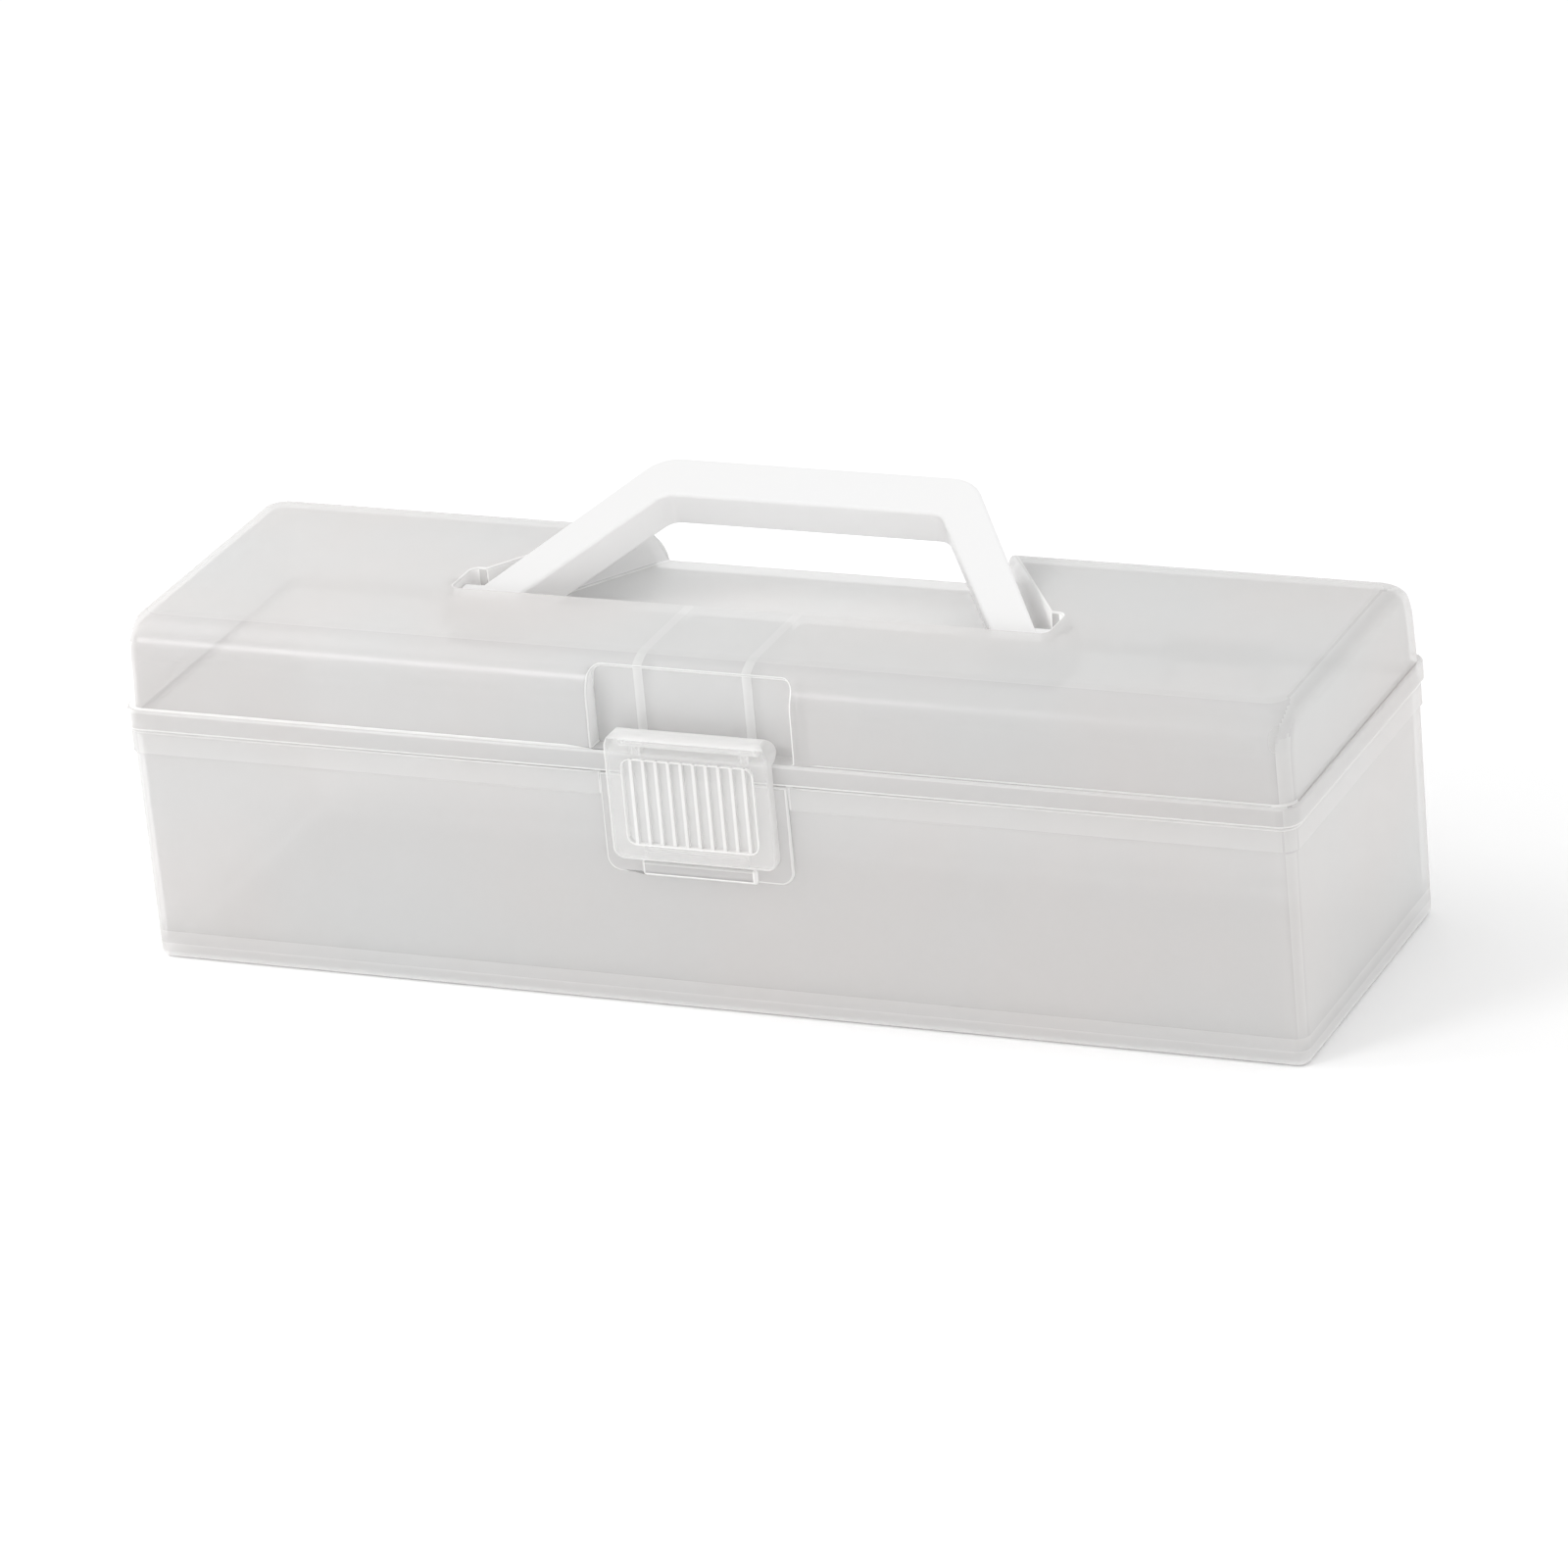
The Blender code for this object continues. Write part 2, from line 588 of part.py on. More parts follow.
def latch_body():
    """Flat-faced plate whose top is round about the hinge bar, with rounded corners in front view."""
    profile = [(LATCH_SKIRT_Y, LATCH_BOTTOM), (LATCH_SKIRT_Y, LATCH_PIVOT_Z - BARREL_RADIUS)]
    profile += arc((LATCH_PIVOT_Y, LATCH_PIVOT_Z), BARREL_RADIUS, -90, 180, 24)
    profile += [(LATCH_FACE_Y, LATCH_BOTTOM)]
    block = plate("latch", profile, 2 * LATCH_HALF_WIDTH, along_x(0.0))
    top = LATCH_PIVOT_Z + BARREL_RADIUS + LATCH_TOP_SPARE
    silhouette = fillet([(-LATCH_HALF_WIDTH, LATCH_BOTTOM), (LATCH_HALF_WIDTH, LATCH_BOTTOM),
                         (LATCH_HALF_WIDTH, top), (-LATCH_HALF_WIDTH, top)],
                        [LATCH_BOTTOM_CORNER, LATCH_BOTTOM_CORNER, LATCH_TOP_CORNER, LATCH_TOP_CORNER])
    front_view = plate("latch_silhouette", silhouette, 2 * WELL_PAST, along_y(LATCH_SKIRT_Y))
    combine(block, [front_view], "INTERSECT")
    return block


def finger_panel():
    """Space of the shallow panel for the thumb in the latch's face."""
    half = PANEL_HALF_WIDTH
    outline = fillet([(-half, PANEL_BOTTOM), (half, PANEL_BOTTOM), (half, PANEL_TOP), (-half, PANEL_TOP)],
                     PANEL_CORNER)
    floor_y = LATCH_FACE_Y + PANEL_DEPTH
    front_y = LATCH_FACE_Y - 2 * PAST
    panel = plate("latch_panel", outline, floor_y - front_y, along_y((floor_y + front_y) / 2))
    first = -(FINGER_RIB_COUNT - 1) / 2 * FINGER_RIB_PITCH
    for index in range(FINGER_RIB_COUNT):
        x = first + index * FINGER_RIB_PITCH
        cut(panel, box("latch_finger_rib_%d" % index,
                       (x - FINGER_RIB_WIDTH / 2, floor_y - FINGER_RIB_HEIGHT, PANEL_BOTTOM - PAST),
                       (x + FINGER_RIB_WIDTH / 2, floor_y + PAST, PANEL_TOP + PAST)))
    return panel


def hook_relief():
    """Hollows in the latch's back around its hook, which clear the base's catch rib."""
    half = CATCH_HALF_WIDTH + 2 * GAP
    back_y = LATCH_SKIRT_Y + PAST
    return [box("latch_hook_face",
                (-half, HOOK_FACE_Y, LATCH_BOTTOM - PAST), (half, back_y, HOOK_HIGH + PAST)),
            box("latch_hook_hollow",
                (-half, HOOK_RELIEF_Y, HOOK_HIGH), (half, back_y, HOOK_RELIEF_HIGH))]


def ear_slot(side):
    """Clearance for a lid ear, swept through the latch's whole swing."""
    reach = BARREL_RADIUS + 2 * PAST
    sweep = arc((LATCH_PIVOT_Y, LATCH_PIVOT_Z), reach,
                EAR_SLOT_START_DEG, LATCH_SWING_DEG - EAR_SLOT_SHORT_DEG, 14)
    outline = [(LATCH_PIVOT_Y, LATCH_PIVOT_Z)] + sweep
    name = "latch_ear_slot_%d" % side
    return plate(name, outline, LID_RIB_WIDTH + 2 * EAR_SLOT_GAP, along_x(side * LID_RIB_X))


def make_latch(material):
    body = latch_body()
    cut(body, finger_panel(), *hook_relief())
    bore_half = BAR_HALF_LENGTH + BAR_END_GAP
    bore = rod("latch_bore", BAR_RADIUS + GAP, -bore_half, bore_half, LATCH_PIVOT_Y, LATCH_PIVOT_Z, 24)
    mouth = BAR_RADIUS - SLOT_PINCH
    slot = box("latch_slot",
               (-bore_half, LATCH_PIVOT_Y, LATCH_PIVOT_Z - mouth),
               (bore_half, LATCH_PIVOT_Y + BARREL_RADIUS + PAST, LATCH_PIVOT_Z + mouth))
    cut(body, bore, slot, ear_slot(-1), ear_slot(1))
    return finish_part(body, material)


# ---------------------------------------------------------------- handle

def handle_outline(inset, root_u):
    """Trapezoid bail in its own plane, as (x, distance from the pivot line)."""
    outer_slope = (HANDLE_ROOT_OUTER - HANDLE_GRIP_OUTER) / HANDLE_REACH_OUTER
    inner_slope = (HANDLE_ROOT_INNER - HANDLE_GRIP_INNER) / HANDLE_REACH_INNER
    outer_shift = inset * math.hypot(1, outer_slope)
    inner_shift = inset * math.hypot(1, inner_slope)
    top = HANDLE_REACH_OUTER - inset
    under = HANDLE_REACH_INNER + inset

    def outer_x(u):
        return HANDLE_ROOT_OUTER - outer_slope * max(u, 0.0) - outer_shift

    def inner_x(u):
        return HANDLE_ROOT_INNER - inner_slope * max(u, 0.0) + inner_shift

    small = HANDLE_KNEE_RADIUS
    knee = [(outer_x(0.0), 0.0, small)] if root_u < 0 else []
    inner_knee = [(inner_x(0.0), 0.0, small)] if root_u < 0 else []
    right = [(inner_x(under), under, HANDLE_INNER_RADIUS + inset)] + inner_knee
    right += [(inner_x(root_u), root_u, small), (outer_x(root_u), root_u, small)] + knee
    right += [(outer_x(top), top, HANDLE_OUTER_RADIUS - inset)]
    left = [(-x, u, radius) for x, u, radius in reversed(right)]
    return fillet([(x, u) for x, u, _ in right + left], [radius for _, _, radius in right + left])


def handle_coring():
    """Channel in the handle's underside, crossed by ribs."""
    depth = HANDLE_THICKNESS - HANDLE_WALL + PAST
    middle_z = -HANDLE_THICKNESS / 2 - PAST + depth / 2
    channel = plate("handle_coring", handle_outline(HANDLE_WALL, CORING_START), depth,
                    Matrix.Translation((0, 0, middle_z)))
    low = -HANDLE_THICKNESS / 2 - 2 * PAST
    high = -low
    half = HANDLE_RIB / 2
    for index, x in enumerate(GRIP_RIBS_X):
        cut(channel, box("handle_grip_rib_%d" % index,
                         (x - half, HANDLE_REACH_INNER - 2 * PAST, low),
                         (x + half, HANDLE_REACH_OUTER + 2 * PAST, high)))
    for side in (-1, 1):
        for index, u in enumerate(LEG_RIBS_REACH):
            low_x, high_x = sorted(side * x for x in LEG_RIBS_SPAN)
            cut(channel, box("handle_leg_rib_%d_%d" % (side, index),
                             (low_x, u - half, low), (high_x, u + half, high)))
    return channel


def make_handle(material):
    """The bail lies in its own XY plane, then an empty on the pivot line tilts it up."""
    half = HANDLE_THICKNESS / 2
    bail = plate("handle", handle_outline(0.0, -half - PAST), HANDLE_THICKNESS, Matrix.Identity(4))
    side_view = arc((0.0, 0.0), half, 90, 270, HANDLE_ROOT_STEPS)
    far_u = HANDLE_REACH_OUTER + WELL_PAST
    trim = half * HANDLE_TRIM
    side_view = [(u, n * HANDLE_TRIM) for u, n in side_view] + [(far_u, -trim), (far_u, trim)]
    rounded_roots = plate("handle_side_view", side_view, 2 * (HANDLE_ROOT_OUTER + WELL_PAST), along_x(0.0))
    combine(bail, [rounded_roots], "INTERSECT")
    soften = bail.modifiers.new("soft_edges", "BEVEL")
    soften.width = HANDLE_SOFTENING
    soften.segments = 2
    soften.limit_method = "ANGLE"
    soften.angle_limit = math.radians(50)
    start = HANDLE_ROOT_OUTER - HUB_OVERLAP
    for side in (-1, 1):
        fuse(bail, rod("handle_hub_%d" % side, HUB_RADIUS, side * start, side * HUB_END, 0.0, 0.0),
             rod("handle_trunnion_%d" % side, TRUNNION_RADIUS, side * (start + PAST),
                 side * TRUNNION_END, 0.0, 0.0))
    channel = handle_coring()
    cut(bail, channel)
    pivot = bpy.data.objects.new("handle_pivot", None)
    PARTS.objects.link(pivot)
    pivot.location = (0.0, HANDLE_PIVOT_Y, HANDLE_PIVOT_Z)
    pivot.rotation_euler = (math.radians(HANDLE_REST_DEG), 0.0, 0.0)
    helpers = [tool for tool in CUTTERS.objects if tool.name.startswith("handle_")]
    for item in [bail] + helpers:
        item.parent = pivot
    return finish_part(bail, material)


# ---------------------------------------------------------------- assembly

def move_origin(item, origin):
    """Put an object's origin on its joint axis without moving its shape or its tools."""
    item.data.transform(Matrix.Translation([-value for value in origin]))
    item.location = origin


clear_scene()
PARTS = new_collection(COLLECTION_NAME)
CUTTERS = new_collection("cutters")
CUTTERS.hide_render = True

make_base(plastic("base_plastic", FROSTED))
lid = make_lid(plastic("lid_plastic", FROSTED))
move_origin(lid, (0.0, HINGE_Y, HINGE_Z))
latch = make_latch(plastic("latch_plastic", FROSTED))
move_origin(latch, (0.0, LATCH_PIVOT_Y, LATCH_PIVOT_Z))
make_handle(plastic("handle_plastic", WHITE))
bpy.context.view_layer.update()
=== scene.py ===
"""Looks of the long translucent art supply box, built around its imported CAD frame.

Metres, +Z up, X along the box, the latch on the -Y side. Every piece is made at its rest place.
"""

import json
import math

import bmesh
import bpy
from mathutils import Matrix, Vector


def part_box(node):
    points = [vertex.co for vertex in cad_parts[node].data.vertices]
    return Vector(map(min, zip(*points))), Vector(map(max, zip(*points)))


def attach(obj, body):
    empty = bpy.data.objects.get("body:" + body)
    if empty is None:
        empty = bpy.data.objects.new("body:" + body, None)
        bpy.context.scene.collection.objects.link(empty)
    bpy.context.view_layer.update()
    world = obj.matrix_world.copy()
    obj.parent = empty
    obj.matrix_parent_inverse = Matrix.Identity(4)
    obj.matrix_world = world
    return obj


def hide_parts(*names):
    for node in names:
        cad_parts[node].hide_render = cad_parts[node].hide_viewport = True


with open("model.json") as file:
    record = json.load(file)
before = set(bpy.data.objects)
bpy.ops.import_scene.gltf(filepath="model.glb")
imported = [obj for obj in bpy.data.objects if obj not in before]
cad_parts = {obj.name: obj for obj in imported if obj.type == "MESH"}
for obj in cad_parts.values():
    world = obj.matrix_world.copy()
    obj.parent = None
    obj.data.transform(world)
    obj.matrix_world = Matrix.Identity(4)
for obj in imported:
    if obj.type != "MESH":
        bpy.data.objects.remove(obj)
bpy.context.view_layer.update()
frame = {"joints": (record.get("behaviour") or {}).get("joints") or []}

MM = 0.001

# -------------------------------- sizes read from the frame

LID_LOW, LID_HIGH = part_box("lid")
LATCH_LOW, LATCH_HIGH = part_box("latch")
PIVOT = {joint["name"]: Vector(joint["pos_m"]) for joint in frame["joints"]}

LENGTH = LID_HIGH.x - LID_LOW.x
WIDTH = 103.4 * MM               # over the lid's rim
HEIGHT = LID_HIGH.z

# -------------------------------- driving sizes

WALL = 1.8 * MM
CORNER_RADIUS = 5.4 * MM         # upright corners, in plan
CORNER_STEPS = 12
SMALLEST_CORNER = 1 * MM
GAP = 0.3 * MM                   # clearance between neighbouring pieces
TOUCH = 0.1 * MM                 # two faces nearer than this count as one
PAST = 1 * MM                    # how far a cutting shape runs past the face that it opens
WELL_PAST = 8 * MM               # the same at the recess's back and the pocket's front
BURIED = 0.5 * MM                # overlap of shapes that are fused

SEAT_Z = 66.4 * MM               # ledge that the lid rests on
BAND_Z = 59.3 * MM               # where the base's thicker rim band starts
BAND_SLOPE = 0.8 * MM
BAND_INSET = 0.8 * MM
BASE_WALL_INSET = 1.4 * MM
BASE_DRAFT = 0.4 * MM
BASE_INNER_RADIUS = 3 * MM
BASE_INNER_CORNER = 2.5 * MM
BASE_EDGE_ROUND = 0.55 * MM
PAD_REACH = 0.6 * MM             # edges this near the front, or this near the seat, are rounded
SEAT_REACH = 4 * MM
FOOT_RADIUS = 2 * MM
FOOT_STEPS = 6
FOOT_BAND = 4.5 * MM             # solid floor behind the wall up to here
FOOT_FADE = 8 * MM               # and its rounded inside corner up to here
FOOT_REACH = 4 * MM              # how far inside the rim the foot's faces lie
TONGUE_TOP = 70.2 * MM
TONGUE_INSET = 2.2 * MM

RIM_TOP = 72.5 * MM
RIM_ROUND = 0.7 * MM
RIM_ROUND_STEPS = 4
RIM_BEAD = 1.1 * RIM_ROUND       # height of the painted highlight line along the rim's lower edge
RIM_DEPTH = 1.5 * MM             # the rim's faces lie within this of its outline
HAIR = 0.02 * MM                 # lets a height be met inexactly
FLANGE_INNER_INSET = 1.8 * MM
FLANGE_INNER_TOP = 71.1 * MM
FLANGE_INNER_SLOPE = 0.8 * MM
LID_WALL_INSET = 1.1 * MM
LID_DRAFT = 0.3 * MM
FRONT_RADIUS = 11.4 * MM
BACK_RADIUS = 14.6 * MM
END_RADIUS = 5.5 * MM
ARC_STEPS = 20
LID_EDGE_ROUND = 0.5 * MM
FRONT_DEPTH = 6 * MM             # how far the lid's and the latch pocket's front edges reach in
LID_RIB_X = 15.3 * MM
LID_RIB_WIDTH = 2.6 * MM
LID_RIB_DEPTH = 2.5 * MM
LID_RIB_STEPS = 12

RECESS_FLOOR = 83.2 * MM
RECESS_FRONT_Y = -10.1 * MM
RECESS_TAPER = 0.67              # sideways per unit of depth
RECESS_FLOOR_REACH = 84.4 * MM   # half-width of the tapering sides at the pivot line, at the floor
RECESS_TOP_REACH = 84.9 * MM     # the same at the lid top
RECESS_RADII = {"front": 2 * MM, "notch": 2.5 * MM, "step": 1 * MM, "back": 1 * MM}
RECESS_STEPS = 6
NOTCH_SIDE_X = 84.3 * MM
NOTCH_BACK_Y = 3.8 * MM

HANDLE_PIVOT_Y = PIVOT["handle_hinge"].y
HANDLE_PIVOT_Z = PIVOT["handle_hinge"].z
HANDLE_THICKNESS = 11.3 * MM
HANDLE_REST_DEG = 23.6           # raised by this from lying flat
HANDLE_ROOT_OUTER = 79.8 * MM
HANDLE_ROOT_INNER = 66.8 * MM
HANDLE_GRIP_OUTER = 44.9 * MM
HANDLE_GRIP_INNER = 39.5 * MM
HANDLE_REACH_OUTER = 53.5 * MM
HANDLE_REACH_INNER = 39.9 * MM
HANDLE_OUTER_RADIUS = 11 * MM
HANDLE_INNER_RADIUS = 5 * MM
HANDLE_WALL = 2.2 * MM
HANDLE_RIB = 1.6 * MM
HANDLE_SOFTENING = 1.1 * MM      # rounding of the bail's long edges
HANDLE_KNEE = 0.4 * MM
HANDLE_ROOT_STEPS = 24
HANDLE_CLEAR = 1.001             # keeps the cut's flat sides just off the bail's own
HANDLE_PAST = 5 * MM
CORING_START = 9 * MM            # from the pivot line
GRIP_RIBS_X = (-30 * MM, -15 * MM, 0.0, 15 * MM, 30 * MM)
LEG_RIBS_REACH = (20 * MM, 31 * MM)
LEG_RIBS_SPAN = (40 * MM, 82 * MM)
HUB_RADIUS = 5.3 * MM
HUB_END = 83.9 * MM
HUB_OVERLAP = 6 * MM
TRUNNION_RADIUS = 3.6 * MM
TRUNNION_END = 87.6 * MM
BOSS_RADIUS = 6.6 * MM
BOSS_END = 88.4 * MM
BOSS_OVERLAP = 4 * MM

POCKET_HALF_WIDTH = 28.3 * MM
POCKET_BACK_Y = -45.6 * MM
POCKET_TOP = 94.4 * MM
POCKET_CORNER = 3 * MM
TIGHT_RADIUS = 0.5 * MM
LATCH_PIVOT_Y = PIVOT["latch_hinge"].y
LATCH_PIVOT_Z = PIVOT["latch_hinge"].z
LATCH_SLOT_DEG = (-99, 78)       # sweep of the lid's ears through the barrel
LATCH_SLOT_STEPS = 14
LATCH_HALF_WIDTH = LATCH_HIGH.x
LATCH_BOTTOM = LATCH_LOW.z
LATCH_SKIRT_Y = -52 * MM
LATCH_TOP_CORNER = 4.5 * MM
LATCH_BOTTOM_CORNER = 3.2 * MM
LATCH_SOFTENING = 0.9 * MM       # rounding of the plate's front edge
LATCH_BACK = 47 * MM             # back of the block that the latch is cut from
BARREL_RADIUS = 3.2 * MM
BARREL_STEPS = 40
LATCH_FACE_Y = LATCH_PIVOT_Y - BARREL_RADIUS
BAR_RADIUS = 1.2 * MM
BAR_HALF_LENGTH = 18.8 * MM
BAR_END_ROOM = 0.6 * MM
BAR_PINCH = 0.2 * MM             # the opening's half-width is this much less than the bar's radius
EAR_DEPTH = 1.6 * MM
EAR_FRONT = 0.1 * MM
EAR_ROOM = 0.8 * MM
PANEL_HALF_WIDTH = 18.2 * MM
PANEL_BOTTOM = 48.3 * MM
PANEL_TOP = 71.8 * MM
PANEL_CORNER = 2.2 * MM
PANEL_DEPTH = 1.5 * MM
PANEL_LIP_ROUND = 0.35 * MM
FINGER_RIB_COUNT = 10
FINGER_RIB_PITCH = 3.53 * MM
FINGER_RIB_WIDTH = 0.9 * MM
FINGER_RIB_HEIGHT = 1.1 * MM

PAD_HALF_WIDTH = 26.4 * MM
PAD_BOTTOM = 38.8 * MM
PAD_FACE_Y = -51.7 * MM
PAD_CORNER = 4 * MM
CATCH_HALF_WIDTH = 14 * MM
CATCH_LOW, CATCH_HIGH = 46 * MM, 47.4 * MM
CATCH_FACE_Y = -52.4 * MM
HOOK_FACE_Y = -52.7 * MM
HOOK_HIGH = 45.6 * MM
HOOK_RELIEF_Y = -53.3 * MM
HOOK_RELIEF_HIGH = 48 * MM
LEDGE_HALF_WIDTH = 15.8 * MM
LEDGE_HEIGHT = 3.6 * MM
LEDGE_DEPTH = 1.2 * MM
LEDGE_RAISED = 0.1 * MM
LEDGE_LIP = 0.9 * MM             # height of its lower edge with a painted highlight, above the pad's lower side
LEDGE_END = 0.6 * MM             # width of its ends with a painted highlight

HINGE_X = 105 * MM
HINGE_Y = PIVOT["lid_hinge"].y
HINGE_Z = PIVOT["lid_hinge"].z
HINGE_EAR_RADIUS = 3.4 * MM
HINGE_EAR_LOW = 58.5 * MM
HINGE_EAR_WIDTH = 3 * MM
HINGE_BARREL_RADIUS = 3.6 * MM
HINGE_BARREL_HALF = 11 * MM
HINGE_PIN_RADIUS = 1.9 * MM
HINGE_MOUTH = 1.6 * MM           # half the barrel's opening, narrower than the pin
HINGE_SIDE_ROOM = 0.4 * MM
HINGE_ARM_INSET = 0.6 * MM
HINGE_ARM_LOW = SEAT_Z + 0.5 * MM
HINGE_EAR_SWEEP_DEG = (-50, 180)
HINGE_EAR_STEPS = 28

SHARP_EDGE_DEG = 35              # edges sharper than this can be rounded
SHARP_SHADING_DEG = 38           # and those sharper than this stay crisp in the shading
ROUND_STEPS = 3
SOFTENING_STEPS = 5
MERGE_FLAT_DEG = 0.4
SAME_POINT = 0.012 * MM
SLIVER = 0.005 * MM
ON_PLANE = 0.01 * MM

# How much of a face's normal lies along an axis, from 0 to 1
LEVEL = 0.97                     # upwards, above this
UPRIGHT = 0.3                    # upwards, below this
SHEER = 0.2                      # upwards, below this
SLANTING = 0.05                  # upwards, above this
SIDEWAYS = 0.4                   # along X, above this
END_ON = 0.85                    # along X, above this
RECESS_WALL = 0.25               # along X, above this
BOTH_WAYS = 0.42                 # along X and along Y, above this
LEDGE_FRONT = 0.98               # along Y, above this
LATCH_FRONT = 0.9                # along Y, above this
PANEL_WALL = 0.5                 # along Y, below this


# -------------------------------- materials

TONE_NOISE = (14.0, 2.0)         # scale and detail
GLOSS_NOISE = (70.0, 3.0)
GRAIN_NOISE = (900.0, 2.0)
TONE_BLEND = (0.35, 0.65)        # where in the noise the cool tone ends and the warm one starts
GRAIN_DEPTH = 0.1 * MM
GRAIN_STRENGTH = 0.06
PLASTIC_IOR = 1.49
FACING_BLEND = 0.3


def add(tree, kind, **values):
    """New shader node with the given properties."""
    node = tree.nodes.new(kind)
    for name, value in values.items():
        setattr(node, name, value)
    return node


def noise(tree, scale, detail):
    """Noise in the piece's own space."""
    place = tree.nodes.get("place") or add(tree, "ShaderNodeTexCoord", name="place")
    node = add(tree, "ShaderNodeTexNoise")
    node.inputs["Scale"].default_value = scale
    node.inputs["Detail"].default_value = detail
    tree.links.new(place.outputs["Object"], node.inputs["Vector"])
    return node.outputs["Fac"]


def spread(tree, source, low, high, start=0.3, end=0.7):
    """Maps a 0-1 value onto a range, evenly between start and end."""
    node = add(tree, "ShaderNodeMapRange")
    tree.links.new(source, node.inputs["Value"])
    node.inputs["From Min"].default_value = start
    node.inputs["From Max"].default_value = end
    node.inputs["To Min"].default_value = low
    node.inputs["To Max"].default_value = high
    return node.outputs["Result"]


def tinted(tree, source, cool, warm):
    """Colour between the cool and the warm tone, by the source."""
    ramp = add(tree, "ShaderNodeValToRGB")
    tree.links.new(source, ramp.inputs["Fac"])
    for element, position, tone in zip(ramp.color_ramp.elements, TONE_BLEND, (cool, warm)):
        element.position = position
        element.color = (*tone, 1.0)
    return ramp.outputs["Color"]


def moulded_plastic(name, cool, warm, roughness, opacity=None):
    """Satin moulded plastic. Opacity is (face on, at a glancing angle), or None for solid."""
    material = bpy.data.materials.new(name)
    material.use_nodes = True
    tree = material.node_tree
    shader = tree.nodes["Principled BSDF"]
    tree.links.new(tinted(tree, noise(tree, *TONE_NOISE), cool, warm), shader.inputs["Base Color"])
    low, high = roughness
    tree.links.new(spread(tree, noise(tree, *GLOSS_NOISE), low, high), shader.inputs["Roughness"])
    shader.inputs["IOR"].default_value = PLASTIC_IOR
    bump = add(tree, "ShaderNodeBump")
    bump.inputs["Strength"].default_value = GRAIN_STRENGTH
    bump.inputs["Distance"].default_value = GRAIN_DEPTH
    tree.links.new(noise(tree, *GRAIN_NOISE), bump.inputs["Height"])
    tree.links.new(bump.outputs["Normal"], shader.inputs["Normal"])
    if opacity:
        facing = add(tree, "ShaderNodeLayerWeight")
        facing.inputs["Blend"].default_value = FACING_BLEND
        face_on, glancing = opacity
        tree.links.new(spread(tree, facing.outputs["Facing"], face_on, glancing, 0.0, 1.0),
                       shader.inputs["Alpha"])
    return material


SATIN = (0.2, 0.27)
MATT = (0.4, 0.5)


def frosted(name, cool, warm, opacity, roughness=SATIN):
    """Translucent plastic, clearer face on than at a glancing angle; its lighter, less clear copies
    stand for thicker plastic, and some also for painted light and painted highlights.
    """
    return moulded_plastic(name, cool, warm, roughness, opacity)


# The base's outside and inside, its thicker rim band, which also serves as the painted highlight
# down the upright corners and along the lid's rim, and the strips over its floor
SKIN = frosted("frosted_skin", (0.815, 0.815, 0.812), (0.83, 0.81, 0.80), (0.33, 0.80))
CORE = frosted("frosted_core", (0.815, 0.815, 0.812), (0.83, 0.81, 0.80), (0.58, 0.82), MATT)
BAND_AND_HIGHLIGHT = frosted("frosted_band_and_highlight", (0.82, 0.82, 0.817), (0.83, 0.81, 0.80), (0.40, 0.84))
FOOT = frosted("frosted_foot", (0.79, 0.79, 0.787), (0.80, 0.78, 0.77), (0.66, 0.90))
ABOVE_FOOT = frosted("above_foot", (0.81, 0.81, 0.807), (0.82, 0.80, 0.79), (0.50, 0.86))

# The lid's sides, its top as a lighter matt copy with painted light, and its inside; its ends and
# the recess floor with painted light; and its skin over the two ribs, whose curved part also paints
# light on the rounding between top and ends
LID_SKIN = frosted("lid_skin", (0.65, 0.65, 0.647), (0.665, 0.645, 0.635), (0.34, 0.80))
LIT_LID_TOP = frosted("lid_top_lit", (0.68, 0.68, 0.677), (0.695, 0.675, 0.665), (0.34, 0.80), MATT)
LID_CORE = frosted("lid_core", (0.665, 0.665, 0.662), (0.68, 0.66, 0.65), (0.54, 0.80), MATT)
LIT_SKIN = frosted("lit_skin", (0.83, 0.83, 0.827), (0.84, 0.82, 0.81), (0.33, 0.76))
TOP_RIB = frosted("top_rib", (0.70, 0.70, 0.697), (0.715, 0.695, 0.685), (0.37, 0.81), MATT)
CURVE_RIB_AND_LIT_CORNER = frosted("curve_rib_and_lit_corner", (0.735, 0.735, 0.732), (0.75, 0.73, 0.72), (0.41, 0.82))
FRONT_RIB = frosted("front_rib", (0.80, 0.80, 0.797), (0.81, 0.795, 0.785), (0.48, 0.84))

# Rounded edges, partly thicker plastic and partly a painted highlight; painted light on the walls
# of the recess and the latch pocket against the shade in them, and as a painted highlight on the
# ledge's edges; and solid ribs, bosses and hinges
LIT_EDGE = frosted("frosted_lit_edge", (0.93, 0.93, 0.925), (0.94, 0.925, 0.915), (0.55, 0.90))
PAINTED_LIGHT = frosted("painted_light", (0.97, 0.97, 0.967), (0.975, 0.96, 0.95), (0.88, 0.94))
THICK = frosted("frosted_thick", (0.93, 0.93, 0.925), (0.94, 0.925, 0.915), (0.70, 0.92), MATT)

# The latch's face and sides, its sunk panel and the panel's ribs
CLEAR = frosted("clear_face", (0.90, 0.90, 0.895), (0.91, 0.895, 0.885), (0.19, 0.80))
CLEAR_SIDE = frosted("clear_side", (0.87, 0.87, 0.865), (0.88, 0.865, 0.855), (0.32, 0.88))
PANEL = frosted("latch_panel", (0.93, 0.93, 0.927), (0.935, 0.925, 0.915), (0.38, 0.80))
FINGER_RIB = frosted("finger_rib", (0.91, 0.91, 0.907), (0.915, 0.905, 0.895), (0.52, 0.86))

# The handle
WHITE = moulded_plastic("solid_white", (0.895, 0.895, 0.895), (0.90, 0.895, 0.89), (0.32, 0.42))


# -------------------------------- mesh helpers

def mesh_object(name, mesh, material):
    """Object in the scene, made from a mesh with one material."""
    item = bpy.data.objects.new(name, mesh)
    bpy.context.scene.collection.objects.link(item)
    mesh.materials.append(material)
    return item


